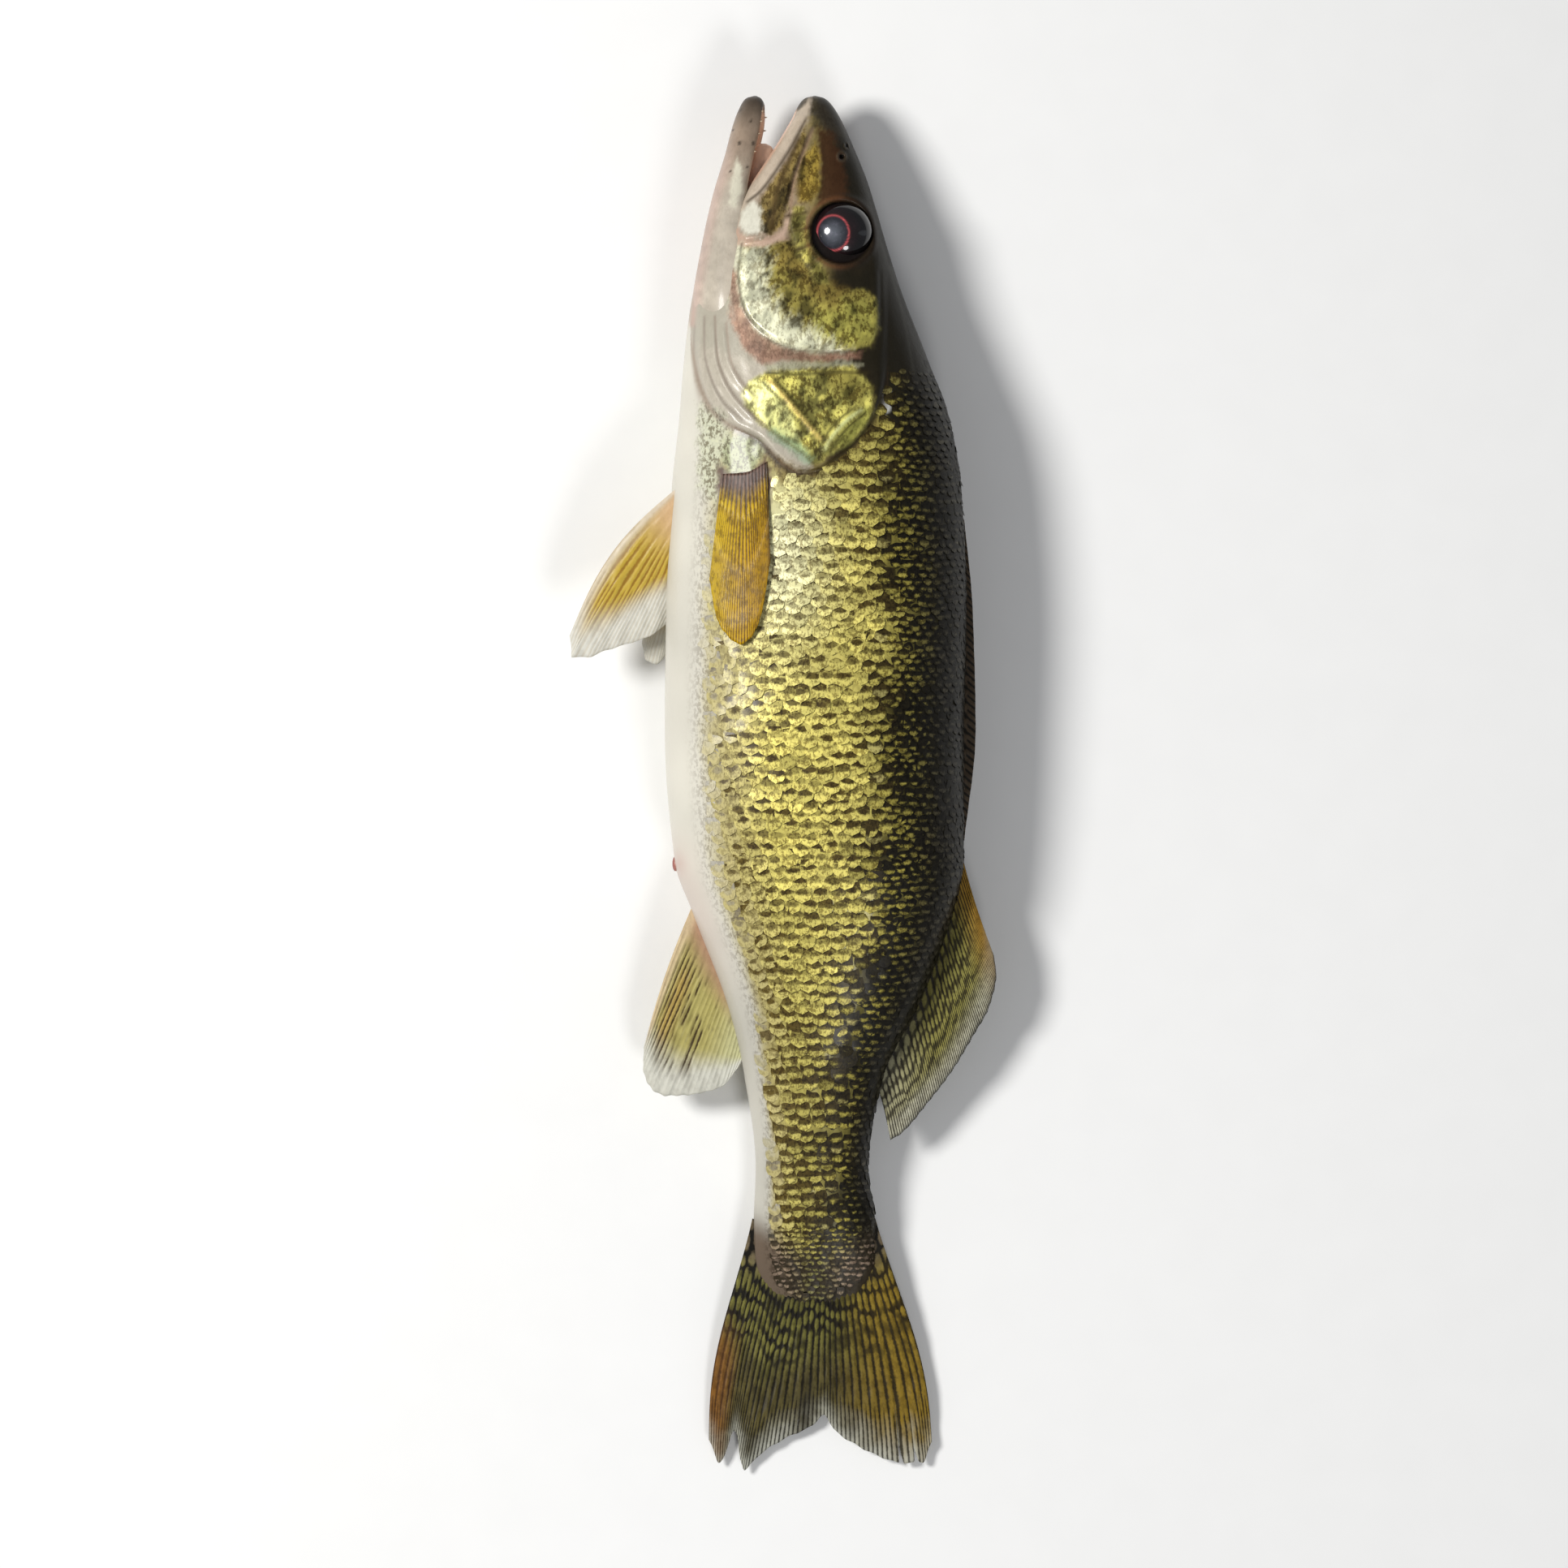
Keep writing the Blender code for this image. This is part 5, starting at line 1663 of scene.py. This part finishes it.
def makeFin(name, fin):
    columns = (fin["rays"] - 1) * fin["perRay"] + 1
    share = np.linspace(0.0, 1.0, columns)
    start, end = alongOutline(fin["root"], share), alongOutline(fin["rim"], share)
    onRay = (share * (fin["rays"] - 1) + 0.5) % 1.0 - 0.5
    end = end + (start - end) * rimNotch * (1 - hump(onRay, 0.0, 0.3))[:, None]
    for splitX, splitY, depth in fin.get("splits", ()):
        nearest = np.argmin(np.hypot(end[:, 0] - splitX, end[:, 1] - splitY))
        cut = hump(np.arange(columns), nearest, 1.3)
        inwards = (start - end) / np.hypot(*(start - end).T)[:, None]
        end = end + inwards * (depth * cut)[:, None]
    run = end - start
    longest = np.hypot(*run.T).max()
    t = np.linspace(0.0, 1.0, fin["rows"] + 1)
    outward = 2 * share - 1
    push = fin.get("bow", 0.0) * (outward * np.abs(outward))[:, None]
    push = push * np.sin(math.pi * t ** fin.get("late", 1.0))
    x = start[:, :1] + run[:, :1] * t - run[:, 1:] / longest * push
    y = start[:, 1:] + run[:, 1:] * t + run[:, :1] / longest * push
    s = np.broadcast_to(share[:, None], x.shape)
    tt = np.broadcast_to(t, x.shape)
    low, high = fin.get("lift", (0.0, 0.0))
    lift = low + (high - low) * tt
    side = fin.get("lie", 0)
    middle = midHeight(y) + side * (sideHeight(x, y) + lift) + (lift if side == 0 else 0)
    middle = middle + fin["wave"] * tt * wobble(x, y, 24.0, fin["rays"])
    middle = np.maximum(middle, 1.4 if side < 0 else 0.7)
    forked = np.interp(tt, fin.get("forks", evenForks), evenForks)
    ridge = rayPattern(s, forked, fin["rays"])
    half = (fin["thick"][0] + (fin["thick"][1] - fin["thick"][0]) * tt) / 2
    half = half + fin["relief"] * (ridge - 0.35) * smoothStep(tt, 0.0, 0.3) * (1 - 0.4 * tt)
    half = np.maximum(half * (1 - 0.75 * smoothStep(tt, 0.93, 1.0)), 0.08)
    upper = np.stack([x, y, middle + half], -1).reshape(-1, 3)
    lower = np.stack([x, y, np.maximum(middle - half, 0.1)], -1).reshape(-1, 3)
    rows = fin["rows"] + 1
    c, r = np.meshgrid(np.arange(columns - 1), np.arange(rows - 1), indexing="ij")
    a, b = c * rows + r, (c + 1) * rows + r
    top = np.stack([a, b, b + 1, a + 1], -1).reshape(-1, 4)
    faces = top.tolist() + (top[:, ::-1] + len(upper)).tolist()
    border = list(range(rows)) + [k * rows + rows - 1 for k in range(1, columns)]
    border += [(columns - 1) * rows + k for k in range(rows - 2, -1, -1)]
    border += [k * rows for k in range(columns - 2, 0, -1)]
    for p, q in zip(border, border[1:] + border[:1]):
        faces.append([p, q, q + len(upper), p + len(upper)])
    web, rayTint, speck, opaque, spots, spotCount = finPaints[name](s, tt, x, y)

    def twice(values, shape):
        return np.concatenate([np.broadcast_to(values, shape).reshape(len(upper), -1)] * 2)

    numbers = {
        "rayPhase": s * (fin["rays"] - 1), "rayLength": forked, "spots": spots,
        "beat": tt * spotCount, "speck": speck, "opaque": opaque,
    }
    piece = meshPiece(
        name, np.vstack([upper, lower]), faces, finFinish,
        colours={"tint": twice(web, web.shape), "rayTint": twice(rayTint, web.shape)},
        values={label: twice(values, x.shape)[:, 0] for label, values in numbers.items()},
    )
    faceOutwards(piece)
    place(piece, "fin", "fish")


for finName, finSpec in fins.items():
    makeFin(finName, finSpec)

print("stage: eyes")
eye = {
    "middle": (19.0, 183.6), "radius": 10.4, "half": 7.6, "proud": 20.6,
    "pupil": (16.3, 183.4), "pupilRadii": (5.2, 5.7), "sides": 96, "rings": 60,
}


def makeEyeFinish():
    finish, tree, shader = newFinish(
        "wetEye", 0.14, coat=0.7, coatRoughness=0.03, specular=0.3
    )
    tint = attribute(tree, "tint", "Color")
    # painted reflections: soft pale purplish patches over the eye's dark colours
    reflectionPatches = noise(tree, ownPlaces(tree), 420.0, Detail=4.0, Roughness=0.65).ramp(0.45, 0.75)
    pale = mixColour(tree, tint, (1.9, 1.7, 1.8, 1), 1.0, "MULTIPLY")
    connect(tree, shader, Base_Color=mixColour(tree, tint, pale, reflectionPatches))
    return finish


def makeEye(name, side, node):
    ex, ey = eye["middle"]
    tilt = (math.pi * (np.arange(1, eye["rings"]) / eye["rings"]))[:, None]
    angle = (2 * math.pi * np.arange(eye["sides"]) / eye["sides"])[None, :]
    x = ex + eye["radius"] * np.sin(tilt) * np.cos(angle)
    y = ey + eye["radius"] * np.sin(tilt) * np.sin(angle)
    middle = float(midHeight(np.array(ey))) + side * (eye["proud"] - eye["half"])
    z = middle + eye["half"] * np.cos(tilt) + 0 * angle
    px, py = eye["pupil"]
    far = np.hypot((x - px) / eye["pupilRadii"][0], (y - py) / eye["pupilRadii"][1])
    # the pupil: painted lighter blue-grey at its middle and darker towards its rim, painted light
    # and shade that give it depth
    tint = paint((92, 96, 104), ((36, 38, 44), smoothStep(far, 0.0, 0.95)))
    iris = paint((30, 18, 20), ((14, 13, 14), smoothStep(far, 1.1, 1.9)))
    tint = blend(tint, iris, smoothStep(far, 0.97, 1.05))
    tint = paint(tint, ((186, 82, 84), 0.85 * hump(far, 1.03, 0.055)))
    count = x.size
    points = withHubs(np.stack([x, y, z], -1).reshape(-1, 3), eye["sides"])
    points[count, 2] = middle + eye["half"]
    points[count + 1, 2] = middle - eye["half"]
    tint = tint.reshape(count, 3)
    piece = meshPiece(
        name, points, ringFaces(len(x), eye["sides"]), eyeFinish,
        colours={"tint": np.vstack([tint, tint[:1], tint[-1:]])},
    )
    faceOutwards(piece)
    place(piece, "eye", node)


eyeFinish = makeEyeFinish()
makeEye("eyeLeft", 1, "eye_left")
makeEye("eyeRight", -1, "eye_right")

print("stage: floor, light and camera")
studio = {
    "floorColour": (0.93, 0.93, 0.92), "floorSize": 4.0,
    "cameraHeight": 5.0, "midPlane": 0.029, "sensor": 36.0,
}


def areaLight(name, where, target, size, power, colour=(1, 1, 1)):
    data = bpy.data.lights.new(name, "AREA")
    data.shape = "ELLIPSE"
    data.size, data.size_y = size
    data.energy = power
    data.color = colour
    lamp = newObject(name, data)
    lamp.location = where
    lamp.rotation_mode = "QUATERNION"
    lamp.rotation_quaternion = (Vector(target) - Vector(where)).to_track_quat("-Z", "Y")


def makeFloor():
    finish, tree, shader = newFinish("paleFloor", 0.7)
    grain = noise(tree, ownPlaces(tree), 60.0, Detail=2.0)
    colour = mixColour(tree, (*studio["floorColour"], 1), (0.9, 0.9, 0.89, 1), grain)
    connect(tree, shader, Base_Color=colour)
    half = studio["floorSize"] / 2 / mm
    corners = [(-half, -half, 0), (half, -half, 0), (half, half, 0), (-half, half, 0)]
    floor = meshPiece("floor", corners, [[0, 1, 2, 3]], finish)


def makeCamera():
    data = bpy.data.cameras.new("camera")
    distance = studio["cameraHeight"] - studio["midPlane"]
    seen = picture["width"] * picture["pixelSize"] * mm
    data.sensor_width = studio["sensor"]
    data.lens = studio["sensor"] * distance / seen
    data.clip_start, data.clip_end = 0.05, 20.0
    camera = newObject("camera", data)
    camera.location = (0.0, 0.0, studio["cameraHeight"])
    bpy.context.scene.camera = camera


makeFloor()
makeCamera()
areaLight("keyLight", (-1.1, 0.35, 1.35), (0.0, 0.05, 0.03), (0.5, 0.5), 28.0, (1.0, 0.99, 0.97))
areaLight("fillLight", (0.5, -1.3, 1.5), (0.0, 0.0, 0.03), (0.5, 0.5), 10.0)
areaLight("edgeLight", (1.3, 0.2, 0.35), (0.05, 0.05, 0.03), (0.3, 1.2), 0.28, (0.86, 0.93, 1.0))
world = bpy.data.worlds.new("paleWorld")
world.use_nodes = True
world.node_tree.nodes["Background"].inputs[0].default_value = (0.93, 0.95, 1.0, 1)
world.node_tree.nodes["Background"].inputs[1].default_value = 0.22
bpy.context.scene.world = world
bpy.context.scene.view_settings.view_transform = "Standard"

print("stage: done")
